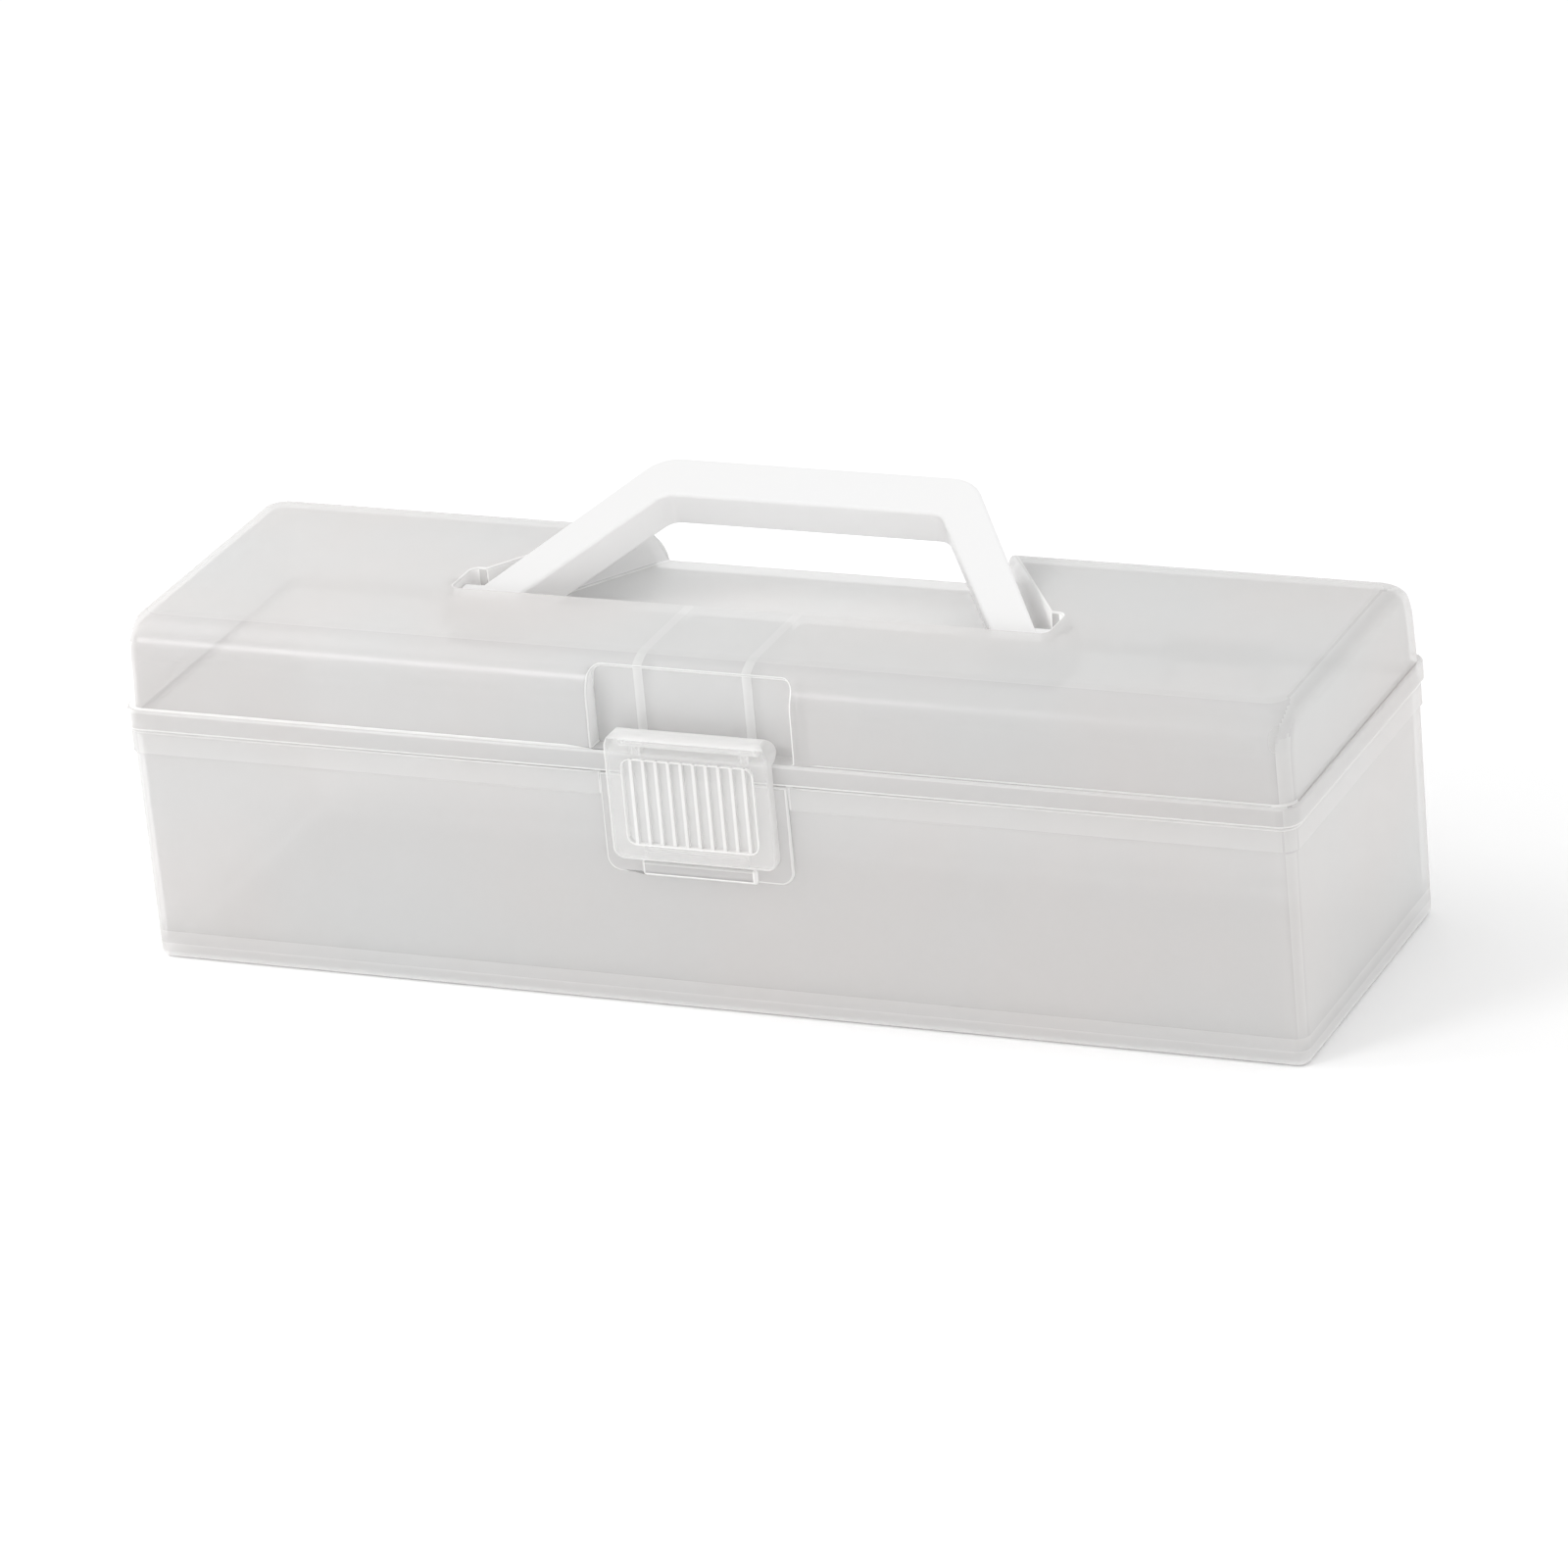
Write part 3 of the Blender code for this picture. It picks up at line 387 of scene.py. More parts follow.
def fillet(corners, radii, steps=CORNER_STEPS):
    """Closed outline through the corners, each replaced by an arc of its own radius."""
    if not hasattr(radii, "__len__"):
        radii = [radii] * len(corners)
    outline = []
    for index, (corner, radius) in enumerate(zip(corners, radii)):
        before = corners[index - 1]
        after = corners[(index + 1) % len(corners)]
        to_before = math.atan2(before[1] - corner[1], before[0] - corner[0])
        to_after = math.atan2(after[1] - corner[1], after[0] - corner[0])
        opening = (to_before - to_after) % math.tau
        turn = math.pi - opening
        half = abs(opening if opening < math.pi else math.tau - opening) / 2
        reach = radius / math.tan(half)
        start = (corner[0] + reach * math.cos(to_before), corner[1] + reach * math.sin(to_before))
        side = math.copysign(1.0, turn)
        to_centre = to_before - side * math.pi / 2
        centre = (start[0] + radius * math.cos(to_centre), start[1] + radius * math.sin(to_centre))
        for step in range(steps + 1):
            angle = to_centre + math.pi + turn * step / steps
            outline.append((centre[0] + radius * math.cos(angle),
                            centre[1] + radius * math.sin(angle)))
    return outline


def rectangle(half_x, front_y, back_y, radius):
    """Outline of a rectangle with rounded corners, even about X = 0."""
    corners = [(-half_x, front_y), (half_x, front_y), (half_x, back_y), (-half_x, back_y)]
    return fillet(corners, radius)


def mirrored(right, steps=CORNER_STEPS):
    """Outline from the corners of its right half, given as (x, y, radius)."""
    corners = right + [(-x, y, radius) for x, y, radius in reversed(right)]
    return fillet([(x, y) for x, y, _ in corners], [radius for _, _, radius in corners], steps)


def rim_rectangle(inset, radius=None):
    """Plan outline that lies a constant inset inside the rim."""
    if radius is None:
        radius = max(CORNER_RADIUS - inset, SMALLEST_CORNER)
    half_y = WIDTH / 2 - inset
    return rectangle(LENGTH / 2 - inset, -half_y, half_y, radius)


def loft(name, sections, material):
    """Closed skin through flat sections, given as (z, outline), from the bottom up."""
    mesh = bpy.data.meshes.new(name)
    skin = bmesh.new()
    rings = []
    for z, outline in sections:
        rings.append([skin.verts.new((x, y, z)) for x, y in outline])
    count = len(rings[0])
    for lower, upper in zip(rings, rings[1:]):
        for index in range(count):
            other = (index + 1) % count
            skin.faces.new((lower[index], lower[other], upper[other], upper[index]))
    skin.faces.new(list(reversed(rings[0])))
    skin.faces.new(rings[-1])
    skin.to_mesh(mesh)
    skin.free()
    return mesh_object(name, mesh, material)


def plate(name, outline, thickness, place, material):
    """Flat outline given thickness both ways about its plane, then turned by the place matrix."""
    mesh = bpy.data.meshes.new(name)
    solid = bmesh.new()
    lower = [solid.verts.new((u, v, -thickness / 2)) for u, v in outline]
    upper = [solid.verts.new((u, v, thickness / 2)) for u, v in outline]
    bmesh.ops.remove_doubles(solid, verts=solid.verts, dist=ON_PLANE)
    lower = [vert for vert in lower if vert.is_valid]
    upper = [vert for vert in upper if vert.is_valid]
    count = len(lower)
    solid.faces.new(list(reversed(lower)))
    solid.faces.new(upper)
    for index in range(count):
        other = (index + 1) % count
        solid.faces.new((lower[index], lower[other], upper[other], upper[index]))
    bmesh.ops.recalc_face_normals(solid, faces=solid.faces)
    solid.to_mesh(mesh)
    solid.free()
    mesh.transform(place)
    return mesh_object(name, mesh, material)


def box(name, low, high, material):
    """Block between two corners."""
    outline = [(low[0], low[1]), (high[0], low[1]), (high[0], high[1]), (low[0], high[1])]
    return plate(name, outline, high[2] - low[2],
                 Matrix.Translation((0, 0, (low[2] + high[2]) / 2)), material)


def rod(name, radius, x_start, x_end, y, z, material, sides=48):
    """Cylinder along X."""
    angles = [math.tau * step / sides for step in range(sides)]
    outline = [(y + radius * math.cos(angle), z + radius * math.sin(angle)) for angle in angles]
    return plate(name, outline, abs(x_end - x_start), along_x((x_start + x_end) / 2), material)


def along_x(x):
    """Matrix that puts an outline given as (y, z) at the position x."""
    return Matrix(((0, 0, 1, x), (1, 0, 0, 0), (0, 1, 0, 0), (0, 0, 0, 1)))


def along_y(y):
    """Matrix that puts an outline given as (x, z) at the position y."""
    return Matrix(((1, 0, 0, 0), (0, 0, -1, y), (0, 1, 0, 0), (0, 0, 0, 1)))


def arc(centre, radius, start_deg, end_deg, steps):
    """Points along an arc."""
    points = []
    for step in range(steps + 1):
        angle = math.radians(start_deg + (end_deg - start_deg) * step / steps)
        points.append((centre[0] + radius * math.cos(angle), centre[1] + radius * math.sin(angle)))
    return points


def quarter_angles(steps):
    return [math.pi / 2 * step / steps for step in range(steps + 1)]


def quarter_round(radius):
    """Rounded edge, as the distances from its two sides, from (radius, 0) to (0, radius)."""
    return [(radius * (1 - math.sin(angle)), radius * (1 - math.cos(angle)))
            for angle in quarter_angles(SOFTENING_STEPS)]


def combine(target, tools, operation):
    """Works the tools into the target at once, each face keeping its own material."""
    for tool in tools:
        modifier = target.modifiers.new(tool.name, "BOOLEAN")
        modifier.operation = operation
        modifier.solver = "EXACT"
        modifier.material_mode = "TRANSFER"
        modifier.object = tool
    settle(target)
    for tool in tools:
        mesh = tool.data
        bpy.data.objects.remove(tool, do_unlink=True)
        bpy.data.meshes.remove(mesh)
    return target


def settle(target):
    """Turns an object's modifiers into its mesh."""
    bpy.context.view_layer.update()
    evaluated = target.evaluated_get(bpy.context.evaluated_depsgraph_get())
    mesh = bpy.data.meshes.new_from_object(evaluated)
    old = target.data
    target.modifiers.clear()
    target.data = mesh
    bpy.data.meshes.remove(old)


def cut(target, *tools):
    """Takes the tools out of the target."""
    return combine(target, tools, "DIFFERENCE")


def fuse(target, *tools):
    """Joins the tools to the target."""
    return combine(target, tools, "UNION")


def slot_of(item, material):
    """Index of a material on an object, added when missing."""
    index = item.data.materials.find(material.name)
    if index < 0:
        item.data.materials.append(material)
        index = len(item.data.materials) - 1
    return index


def clean(item):
    """Joins points that coincide and faces that lie in one plane."""
    shape = bmesh.new()
    shape.from_mesh(item.data)
    bmesh.ops.remove_doubles(shape, verts=shape.verts, dist=SAME_POINT)
    bmesh.ops.dissolve_degenerate(shape, edges=shape.edges, dist=SLIVER)
    bmesh.ops.dissolve_limit(shape, angle_limit=math.radians(MERGE_FLAT_DEG), verts=shape.verts,
                             edges=shape.edges, delimit={"MATERIAL"})
    shape.to_mesh(item.data)
    shape.free()


def round_edges(item, width, wanted):
    """Rounds the sharp edges whose middle passes the test; the new faces get the lighter edge
    material, a painted highlight.
    """
    clean(item)
    shape = bmesh.new()
    shape.from_mesh(item.data)
    layer = shape.edges.layers.float.new("bevel_weight_edge")
    for edge in shape.edges:
        if len(edge.link_faces) == 2:
            sharp = edge.calc_face_angle(0.0) > math.radians(SHARP_EDGE_DEG)
            middle = (edge.verts[0].co + edge.verts[1].co) / 2
            edge[layer] = 1.0 if sharp and wanted(middle, edge) else 0.0
    shape.to_mesh(item.data)
    shape.free()
    modifier = item.modifiers.new("round_edges", "BEVEL")
    modifier.width = width
    modifier.segments = ROUND_STEPS
    modifier.limit_method = "WEIGHT"
    modifier.use_clamp_overlap = False
    modifier.miter_outer = "MITER_ARC"
    modifier.material = slot_of(item, LIT_EDGE)
    settle(item)


def paint(item, material, wanted):
    """Gives the faces that pass the test their own material; rounded edges keep theirs."""
    edge = item.data.materials.find(LIT_EDGE.name)
    index = slot_of(item, material)
    for face in item.data.polygons:
        if face.material_index != edge and wanted(face.center, face.normal):
            face.material_index = index


def beyond_rim(centre):
    """How far a point lies outside the rim in plan; negative when inside it."""
    return max(abs(centre.x) - LENGTH / 2, abs(centre.y) - WIDTH / 2)


def on_corner(centre, normal):
    """Middle of a rounded upright corner on the case's outside."""
    reach_x = abs(centre.x) - LENGTH / 2 + CORNER_RADIUS
    reach_y = abs(centre.y) - WIDTH / 2 + CORNER_RADIUS
    outer = centre.x * normal.x > 0 and centre.y * normal.y > 0
    corner = min(abs(normal.x), abs(normal.y)) > BOTH_WAYS and abs(normal.z) < SHEER
    return outer and corner and min(reach_x, reach_y) > 0


def split(item, point, direction):
    """Cuts the faces along a plane, without changing the shape."""
    shape = bmesh.new()
    shape.from_mesh(item.data)
    bmesh.ops.bisect_plane(shape, geom=shape.verts[:] + shape.edges[:] + shape.faces[:],
                           dist=ON_PLANE, plane_co=point, plane_no=direction)
    shape.to_mesh(item.data)
    shape.free()


def finish_piece(item, body, node):
    """Smooth shading that keeps the flat faces flat, then the piece takes its node's place."""
    item.data.shade_smooth()
    item.data.set_sharp_from_angle(angle=math.radians(SHARP_SHADING_DEG))
    weighted = item.modifiers.new("even_shading", "WEIGHTED_NORMAL")
    weighted.keep_sharp = True
    weighted.weight = 80
    settle(item)
    item.data.name = item.name
    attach(item, body)
    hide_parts(node)
    return item


# -------------------------------- base

def base_shell():
    """Drafted box with a rounded foot, a thicker rim band and the tongue that enters the lid."""
    wall = BASE_WALL_INSET
    foot = wall + BASE_DRAFT
    sections = []
    for angle in quarter_angles(FOOT_STEPS):
        sections.append((FOOT_RADIUS * (1 - math.cos(angle)),
                         rim_rectangle(foot + FOOT_RADIUS * (1 - math.sin(angle)))))
    sections.append((BAND_Z, rim_rectangle(wall)))
    sections.append((BAND_Z + BAND_SLOPE, rim_rectangle(BAND_INSET)))
    sections.append((SEAT_Z, rim_rectangle(BAND_INSET)))
    sections.append((SEAT_Z, rim_rectangle(TONGUE_INSET)))
    sections.append((TONGUE_TOP, rim_rectangle(TONGUE_INSET)))
    shell = loft("base_shell", sections, SKIN)
    hollow = []
    for angle in quarter_angles(FOOT_STEPS):
        inset = foot + WALL + BASE_INNER_RADIUS * (1 - math.sin(angle))
        hollow.append((WALL + BASE_INNER_RADIUS * (1 - math.cos(angle)),
                       rim_rectangle(inset, BASE_INNER_CORNER)))
    hollow.append((TONGUE_TOP + PAST, rim_rectangle(wall + WALL, BASE_INNER_CORNER)))
    cut(shell, loft("base_hollow", hollow, CORE))
    return shell


def base_front_pad():
    """Pad behind the latch, with the catch rib and the small ledge."""
    inner_y = -(WIDTH / 2 - BASE_WALL_INSET - WALL / 2)
    outline = fillet([(-PAD_HALF_WIDTH, PAD_BOTTOM), (PAD_HALF_WIDTH, PAD_BOTTOM),
                      (PAD_HALF_WIDTH, SEAT_Z), (-PAD_HALF_WIDTH, SEAT_Z)],
                     [PAD_CORNER, PAD_CORNER, TIGHT_RADIUS, TIGHT_RADIUS])
    pad = plate("pad", outline, inner_y - PAD_FACE_Y, along_y((inner_y + PAD_FACE_Y) / 2), SKIN)
    buried_y = PAD_FACE_Y + BURIED
    catch = box("catch", (-CATCH_HALF_WIDTH, CATCH_FACE_Y, CATCH_LOW),
                (CATCH_HALF_WIDTH, buried_y, CATCH_HIGH), SKIN)
    ledge_low = PAD_BOTTOM + LEDGE_RAISED
    ledge = box("ledge", (-LEDGE_HALF_WIDTH, PAD_FACE_Y - LEDGE_DEPTH, ledge_low),
                (LEDGE_HALF_WIDTH, buried_y, ledge_low + LEDGE_HEIGHT), SKIN)
    return [pad, catch, ledge]


def base_hinge(side):
    """Two ears and the pin between them."""
    middle = side * HINGE_X
    inner = HINGE_BARREL_HALF + HINGE_SIDE_ROOM
    back_y = WIDTH / 2 - BAND_INSET - BURIED
    outline = [(back_y, HINGE_EAR_LOW)]
    outline += arc((HINGE_Y, HINGE_Z), HINGE_EAR_RADIUS, *HINGE_EAR_SWEEP_DEG,
                   HINGE_EAR_STEPS)
    outline += [(HINGE_Y - HINGE_EAR_RADIUS, SEAT_Z - BURIED), (back_y, SEAT_Z - BURIED)]
    pieces = []
    for end in (-1, 1):
        x = middle + end * (inner + HINGE_EAR_WIDTH / 2)
        pieces.append(plate("ear_%d_%d" % (side, end), outline, HINGE_EAR_WIDTH, along_x(x), THICK))
    reach = inner + HINGE_EAR_WIDTH / 2
    pieces.append(rod("pin_%d" % side, HINGE_PIN_RADIUS, middle - reach, middle + reach,
                      HINGE_Y, HINGE_Z, THICK))
    return pieces


def make_base():
    shell = base_shell()
    fuse(shell, *base_front_pad())
    for side in (-1, 1):
        fuse(shell, *base_hinge(side))

    def wanted(middle, edge):
        return middle.y < -WIDTH / 2 + PAD_REACH or abs(middle.z - SEAT_Z) < SEAT_REACH

    round_edges(shell, BASE_EDGE_ROUND, wanted)
    lighten_base(shell)
    return finish_piece(shell, "base", "base")


def lighten_base(shell):
    """The thicker rim band is drawn lighter and the strips above the foot less clear; the upright
    corners and the ledge's edges get a painted highlight, and the foot's rounded edge painted light
    against the shade by the floor.
    """
    def in_band(centre, normal):
        upright = BAND_Z < centre.z < SEAT_Z and abs(normal.z) < UPRIGHT
        return upright and beyond_rim(centre) > -BAND_INSET - TOUCH

    def on_foot(centre, normal):
        outside = beyond_rim(centre) > -FOOT_REACH - TOUCH
        return outside and centre.z < FOOT_RADIUS and normal.z > -LEVEL

    paint(shell, BAND_AND_HIGHLIGHT, in_band)
    # Painted light: the foot's rounded edge is drawn lighter against the shade where the case meets
    # the floor.
    paint(shell, LIT_EDGE, on_foot)
    # Painted highlight down the base's upright corners.
    paint(shell, BAND_AND_HIGHLIGHT, on_corner)
    # Painted highlight on the ledge's lower edge and ends.
    bright = slot_of(shell, PAINTED_LIGHT)
    for face in shell.data.polygons:
        if on_ledge_edge(face.center, face.normal):
            face.material_index = bright
    low = FOOT_RADIUS
    for material, high in ((FOOT, FOOT_BAND), (ABOVE_FOOT, FOOT_FADE)):
        split(shell, (0, 0, high), (0, 0, 1))
        paint(shell, material, lambda centre, normal: low < centre.z < high
              and abs(normal.z) < UPRIGHT and beyond_rim(centre) > -FOOT_REACH - TOUCH)
        low = high


def on_ledge_edge(centre, normal):
    """Lower edge and both ends of the small ledge under the latch, which carry a painted highlight.
    """
    proud = centre.y < PAD_FACE_Y - TOUCH / 2 and normal.y > -LEDGE_FRONT
    beside = PAD_BOTTOM - TOUCH < centre.z < PAD_BOTTOM + LEDGE_HEIGHT + 2 * TOUCH
    low = centre.z < PAD_BOTTOM + LEDGE_LIP and abs(centre.x) < LEDGE_HALF_WIDTH + TOUCH
    end = abs(abs(centre.x) - LEDGE_HALF_WIDTH) < LEDGE_END
    return proud and beside and (low or end)


# -------------------------------- lid

def round_over(z, top, radius):
    """How far a rounded edge has drawn in at height z."""
    rise = max(z - (top - radius), 0.0)
    return radius - math.sqrt(max(radius ** 2 - rise ** 2, 0.0))


def lid_sections(inset):
    """Crowned part of the lid above the rim, every face moved inwards by the inset."""
    top = HEIGHT - inset
    radii = [radius - inset for radius in (FRONT_RADIUS, BACK_RADIUS, END_RADIUS)]
    arc_start = top - radii[1]
    sections = []
    for step in range(ARC_STEPS + 1):
        z = arc_start + radii[1] * math.sin(math.pi / 2 * step / ARC_STEPS)
        front, back, end = [round_over(z, top, radius) for radius in radii]
        wall = LID_WALL_INSET + LID_DRAFT + inset
        half_x = LENGTH / 2 - wall
        half_y = WIDTH / 2 - wall
        outline = rectangle(half_x - end, front - half_y, half_y - back, CORNER_RADIUS - inset)
        sections.append((z, outline))
    return sections


def lid_outer():
    """Rim flange and the crowned cover over it."""
    bottom = SEAT_Z + GAP
    sections = []
    for angle in quarter_angles(RIM_ROUND_STEPS):
        sections.append((bottom + RIM_ROUND * (1 - math.cos(angle)),
                         rim_rectangle(RIM_ROUND * (1 - math.sin(angle)))))
    for angle in quarter_angles(RIM_ROUND_STEPS):
        sections.append((RIM_TOP - RIM_ROUND * (1 - math.sin(angle)),
                         rim_rectangle(RIM_ROUND * (1 - math.cos(angle)))))
    sections.append((RIM_TOP, rim_rectangle(LID_WALL_INSET, CORNER_RADIUS)))
    return loft("lid_shell", sections + lid_sections(0), LID_SKIN)


def lid_cavity():
    """Hollow of the lid as a cutting shape, less the recess, pocket, bosses and ribs left in it."""
    sections = [
        (SEAT_Z - PAST, rim_rectangle(FLANGE_INNER_INSET)),
        (FLANGE_INNER_TOP, rim_rectangle(FLANGE_INNER_INSET)),
        (FLANGE_INNER_TOP + FLANGE_INNER_SLOPE,
         rim_rectangle(LID_WALL_INSET + WALL, CORNER_RADIUS - WALL)),
    ]
    cavity = loft("lid_cavity", sections + lid_sections(WALL), LID_CORE)
    tools = [handle_recess("recess_skin", WALL, CORE), latch_pocket("pocket_skin", WALL, CORE)]
    for side in (-1, 1):
        start = side * (NOTCH_SIDE_X - BOSS_OVERLAP)
        tools.append(rod("boss_%d" % side, BOSS_RADIUS, start, side * BOSS_END,
                         HANDLE_PIVOT_Y, HANDLE_PIVOT_Z, THICK))
        tools.append(lid_rib(side))
    cut(cavity, *tools)
    return cavity


def handle_recess(name, grow, material):
    """Space that the folded handle lies in, open at the lid's back; grow adds a skin around it."""
    back_y = WIDTH / 2 + WELL_PAST
    side_x = NOTCH_SIDE_X + grow
    front_y = RECESS_FRONT_Y - grow
    step_y = NOTCH_BACK_Y + grow
    slant = grow * math.hypot(1, RECESS_TAPER)
    draft = (RECESS_TOP_REACH - RECESS_FLOOR_REACH) / (HEIGHT - RECESS_FLOOR)
    sections = []
    for z in (RECESS_FLOOR - grow, HEIGHT + 2 * PAST):
        reach = RECESS_FLOOR_REACH + draft * (z - RECESS_FLOOR) + slant
        step_x = reach - RECESS_TAPER * (step_y - HANDLE_PIVOT_Y)
        back_x = reach - RECESS_TAPER * (back_y - HANDLE_PIVOT_Y)
        right = [(side_x, front_y, RECESS_RADII["front"]), (side_x, step_y, RECESS_RADII["notch"]),
                 (step_x, step_y, RECESS_RADII["step"]), (back_x, back_y, RECESS_RADII["back"])]
        sections.append((z, mirrored(right, RECESS_STEPS)))
    return loft(name, sections, material)


def latch_pocket(name, grow, material):
    """Flat-backed pocket in the curved front of the lid; grow adds a skin around it."""
    half = POCKET_HALF_WIDTH + grow
    bottom = RIM_TOP - grow
    top = POCKET_TOP + grow
    corner = POCKET_CORNER + grow
    outline = fillet([(-half, bottom), (half, bottom), (half, top), (-half, top)],
                     [TIGHT_RADIUS, TIGHT_RADIUS, corner, corner], RECESS_STEPS)
    front_y = -WIDTH / 2 - WELL_PAST
    back_y = POCKET_BACK_Y + grow
    return plate(name, outline, back_y - front_y, along_y((front_y + back_y) / 2), material)


def lid_rib(side):
    """Rib under the top and down behind the latch pocket."""
    top = HEIGHT - WALL
    front_y = -(WIDTH / 2 - LID_WALL_INSET - LID_DRAFT)
    start_y = RECESS_FRONT_Y - WALL + PAST
    back_y = POCKET_BACK_Y + WALL
    below = top - LID_RIB_DEPTH
    inner_radius = FRONT_RADIUS - WALL - LID_RIB_DEPTH
    centre = (back_y + LID_RIB_DEPTH + inner_radius, below - inner_radius)
    outline = [(start_y, top + PAST), (start_y, below)]
    outline += arc(centre, inner_radius, 90, 180, LID_RIB_STEPS)
    outline += [(back_y + LID_RIB_DEPTH, RIM_TOP - WALL), (front_y, RIM_TOP - WALL)]
    outline += [(front_y, top + PAST)]
    return plate("rib_%d" % side, outline, LID_RIB_WIDTH, along_x(side * LID_RIB_X), THICK)


def latch_bar():
    """Bar that the latch turns on, between two ears."""
    pieces = [rod("latch_bar", BAR_RADIUS, -BAR_HALF_LENGTH, BAR_HALF_LENGTH,
                  LATCH_PIVOT_Y, LATCH_PIVOT_Z, CLEAR)]
    front_y = LATCH_PIVOT_Y - EAR_FRONT
    back_y = LATCH_PIVOT_Y + EAR_DEPTH
    top = LATCH_PIVOT_Z - BAR_RADIUS / 2
    foot = RIM_TOP - BURIED
    outline = [(front_y, foot), (back_y, foot), (back_y, top - EAR_DEPTH),
               (back_y - EAR_DEPTH / 2, top), (front_y, top)]
    for side in (-1, 1):
        pieces.append(plate("latch_ear_%d" % side, outline, LID_RIB_WIDTH,
                            along_x(side * LID_RIB_X), CLEAR))
    return pieces


def lid_hinge_barrel(side):
    """Barrel around the base's pin, with the arm that holds it."""
    low = side * HINGE_X - HINGE_BARREL_HALF
    high = side * HINGE_X + HINGE_BARREL_HALF
    arm = box("arm_%d" % side, (low, WIDTH / 2 - HINGE_ARM_INSET, HINGE_ARM_LOW),
              (high, HINGE_Y, HINGE_Z + HINGE_BARREL_RADIUS), THICK)
    return [arm, rod("barrel_%d" % side, HINGE_BARREL_RADIUS, low, high, HINGE_Y, HINGE_Z, THICK)]


def lid_hinge_bore(side):
    """Bore for the pin, open below so that the barrel can be pushed on."""
    low = side * HINGE_X - HINGE_BARREL_HALF - PAST
    high = side * HINGE_X + HINGE_BARREL_HALF + PAST
    bore = rod("hinge_bore_%d" % side, HINGE_PIN_RADIUS + GAP, low, high, HINGE_Y, HINGE_Z, THICK)
    slot = box("hinge_slot_%d" % side,
               (low, HINGE_Y - HINGE_MOUTH, HINGE_Z - HINGE_BARREL_RADIUS - PAST),
               (high, HINGE_Y + HINGE_MOUTH, HINGE_Z), THICK)
    return [bore, slot]


def make_lid():
    shell = lid_outer()
    cut(shell, lid_cavity(), handle_recess("recess", 0.0, LIT_SKIN),
        latch_pocket("pocket", 0.0, LID_SKIN))
    fuse(shell, *latch_bar())
    for side in (-1, 1):
        fuse(shell, *lid_hinge_barrel(side))
        cut(shell, *lid_hinge_bore(side))
        cut(shell, rod("trunnion_bore_%d" % side, TRUNNION_RADIUS + GAP,
                       side * (NOTCH_SIDE_X - BOSS_OVERLAP), side * (BOSS_END + PAST),
                       HANDLE_PIVOT_Y, HANDLE_PIVOT_Z, SKIN))

    def wanted(middle, edge):
        hollow = (slot_of(shell, CORE), slot_of(shell, LID_CORE))
        outside = all(face.material_index not in hollow for face in edge.link_faces)
        in_view = middle.z > RECESS_FLOOR or middle.y < -WIDTH / 2 + FRONT_DEPTH
        return outside and in_view and middle.z > RIM_TOP - TOUCH

    round_edges(shell, LID_EDGE_ROUND, wanted)
    lighten_rim(shell)
    # Painted highlight down the lid's upright corners.
    paint(shell, BAND_AND_HIGHLIGHT, lambda centre, normal: on_corner(centre, normal) and centre.z > RIM_TOP)
    lighten_lid(shell)
    return finish_piece(shell, "lid", "lid")


def lighten_rim(shell):
    """Painted highlights: the rim's rounded edges and its ends are a little lighter than its flat
    band.
    """
    edge, bead, flat = [slot_of(shell, material) for material in (LIT_EDGE, BAND_AND_HIGHLIGHT, TOP_RIB)]
    bottom = SEAT_Z + GAP
    for face in shell.data.polygons:
        z = face.center.z
        slanting = abs(face.normal.z) > SLANTING
        if beyond_rim(face.center) <= -RIM_DEPTH or face.center.y >= WIDTH / 2 + TOUCH:
            continue
        if slanting and bottom - TOUCH < z < bottom + RIM_BEAD:
            face.material_index = edge
        elif bottom < z < RIM_TOP + HAIR:
            face.material_index = bead if slanting or abs(face.normal.x) > SIDEWAYS else flat


def lighten_lid(shell):
    """Over the ribs the thicker plastic is drawn lighter; the top, the ends and the corners get
    painted light and painted highlights, and the walls of the recess and the pocket painted light
    against the shade in them.
    """
    for side in (-1, 1):
        for edge in (-1, 1):
            split(shell, (side * LID_RIB_X + edge * LID_RIB_WIDTH / 2, 0, 0), (1, 0, 0))
    skins = (slot_of(shell, SKIN), slot_of(shell, LID_SKIN))
    recess = slot_of(shell, LIT_SKIN)
    places = {material.name: slot_of(shell, material)
              for material in (TOP_RIB, CURVE_RIB_AND_LIT_CORNER, FRONT_RIB, LIT_SKIN, BAND_AND_HIGHLIGHT, PAINTED_LIGHT, LIT_LID_TOP)}
    for face in shell.data.polygons:
        material = None
        # Painted light on the recess's side walls, against the shade between them and the handle.
        if face.material_index == recess and abs(face.normal.x) > RECESS_WALL:
            material = PAINTED_LIGHT
        elif face.material_index in skins and face.center.z > RIM_TOP + TOUCH:
            material = lid_material(face.center, face.normal)
        if material:
            face.material_index = places[material.name]


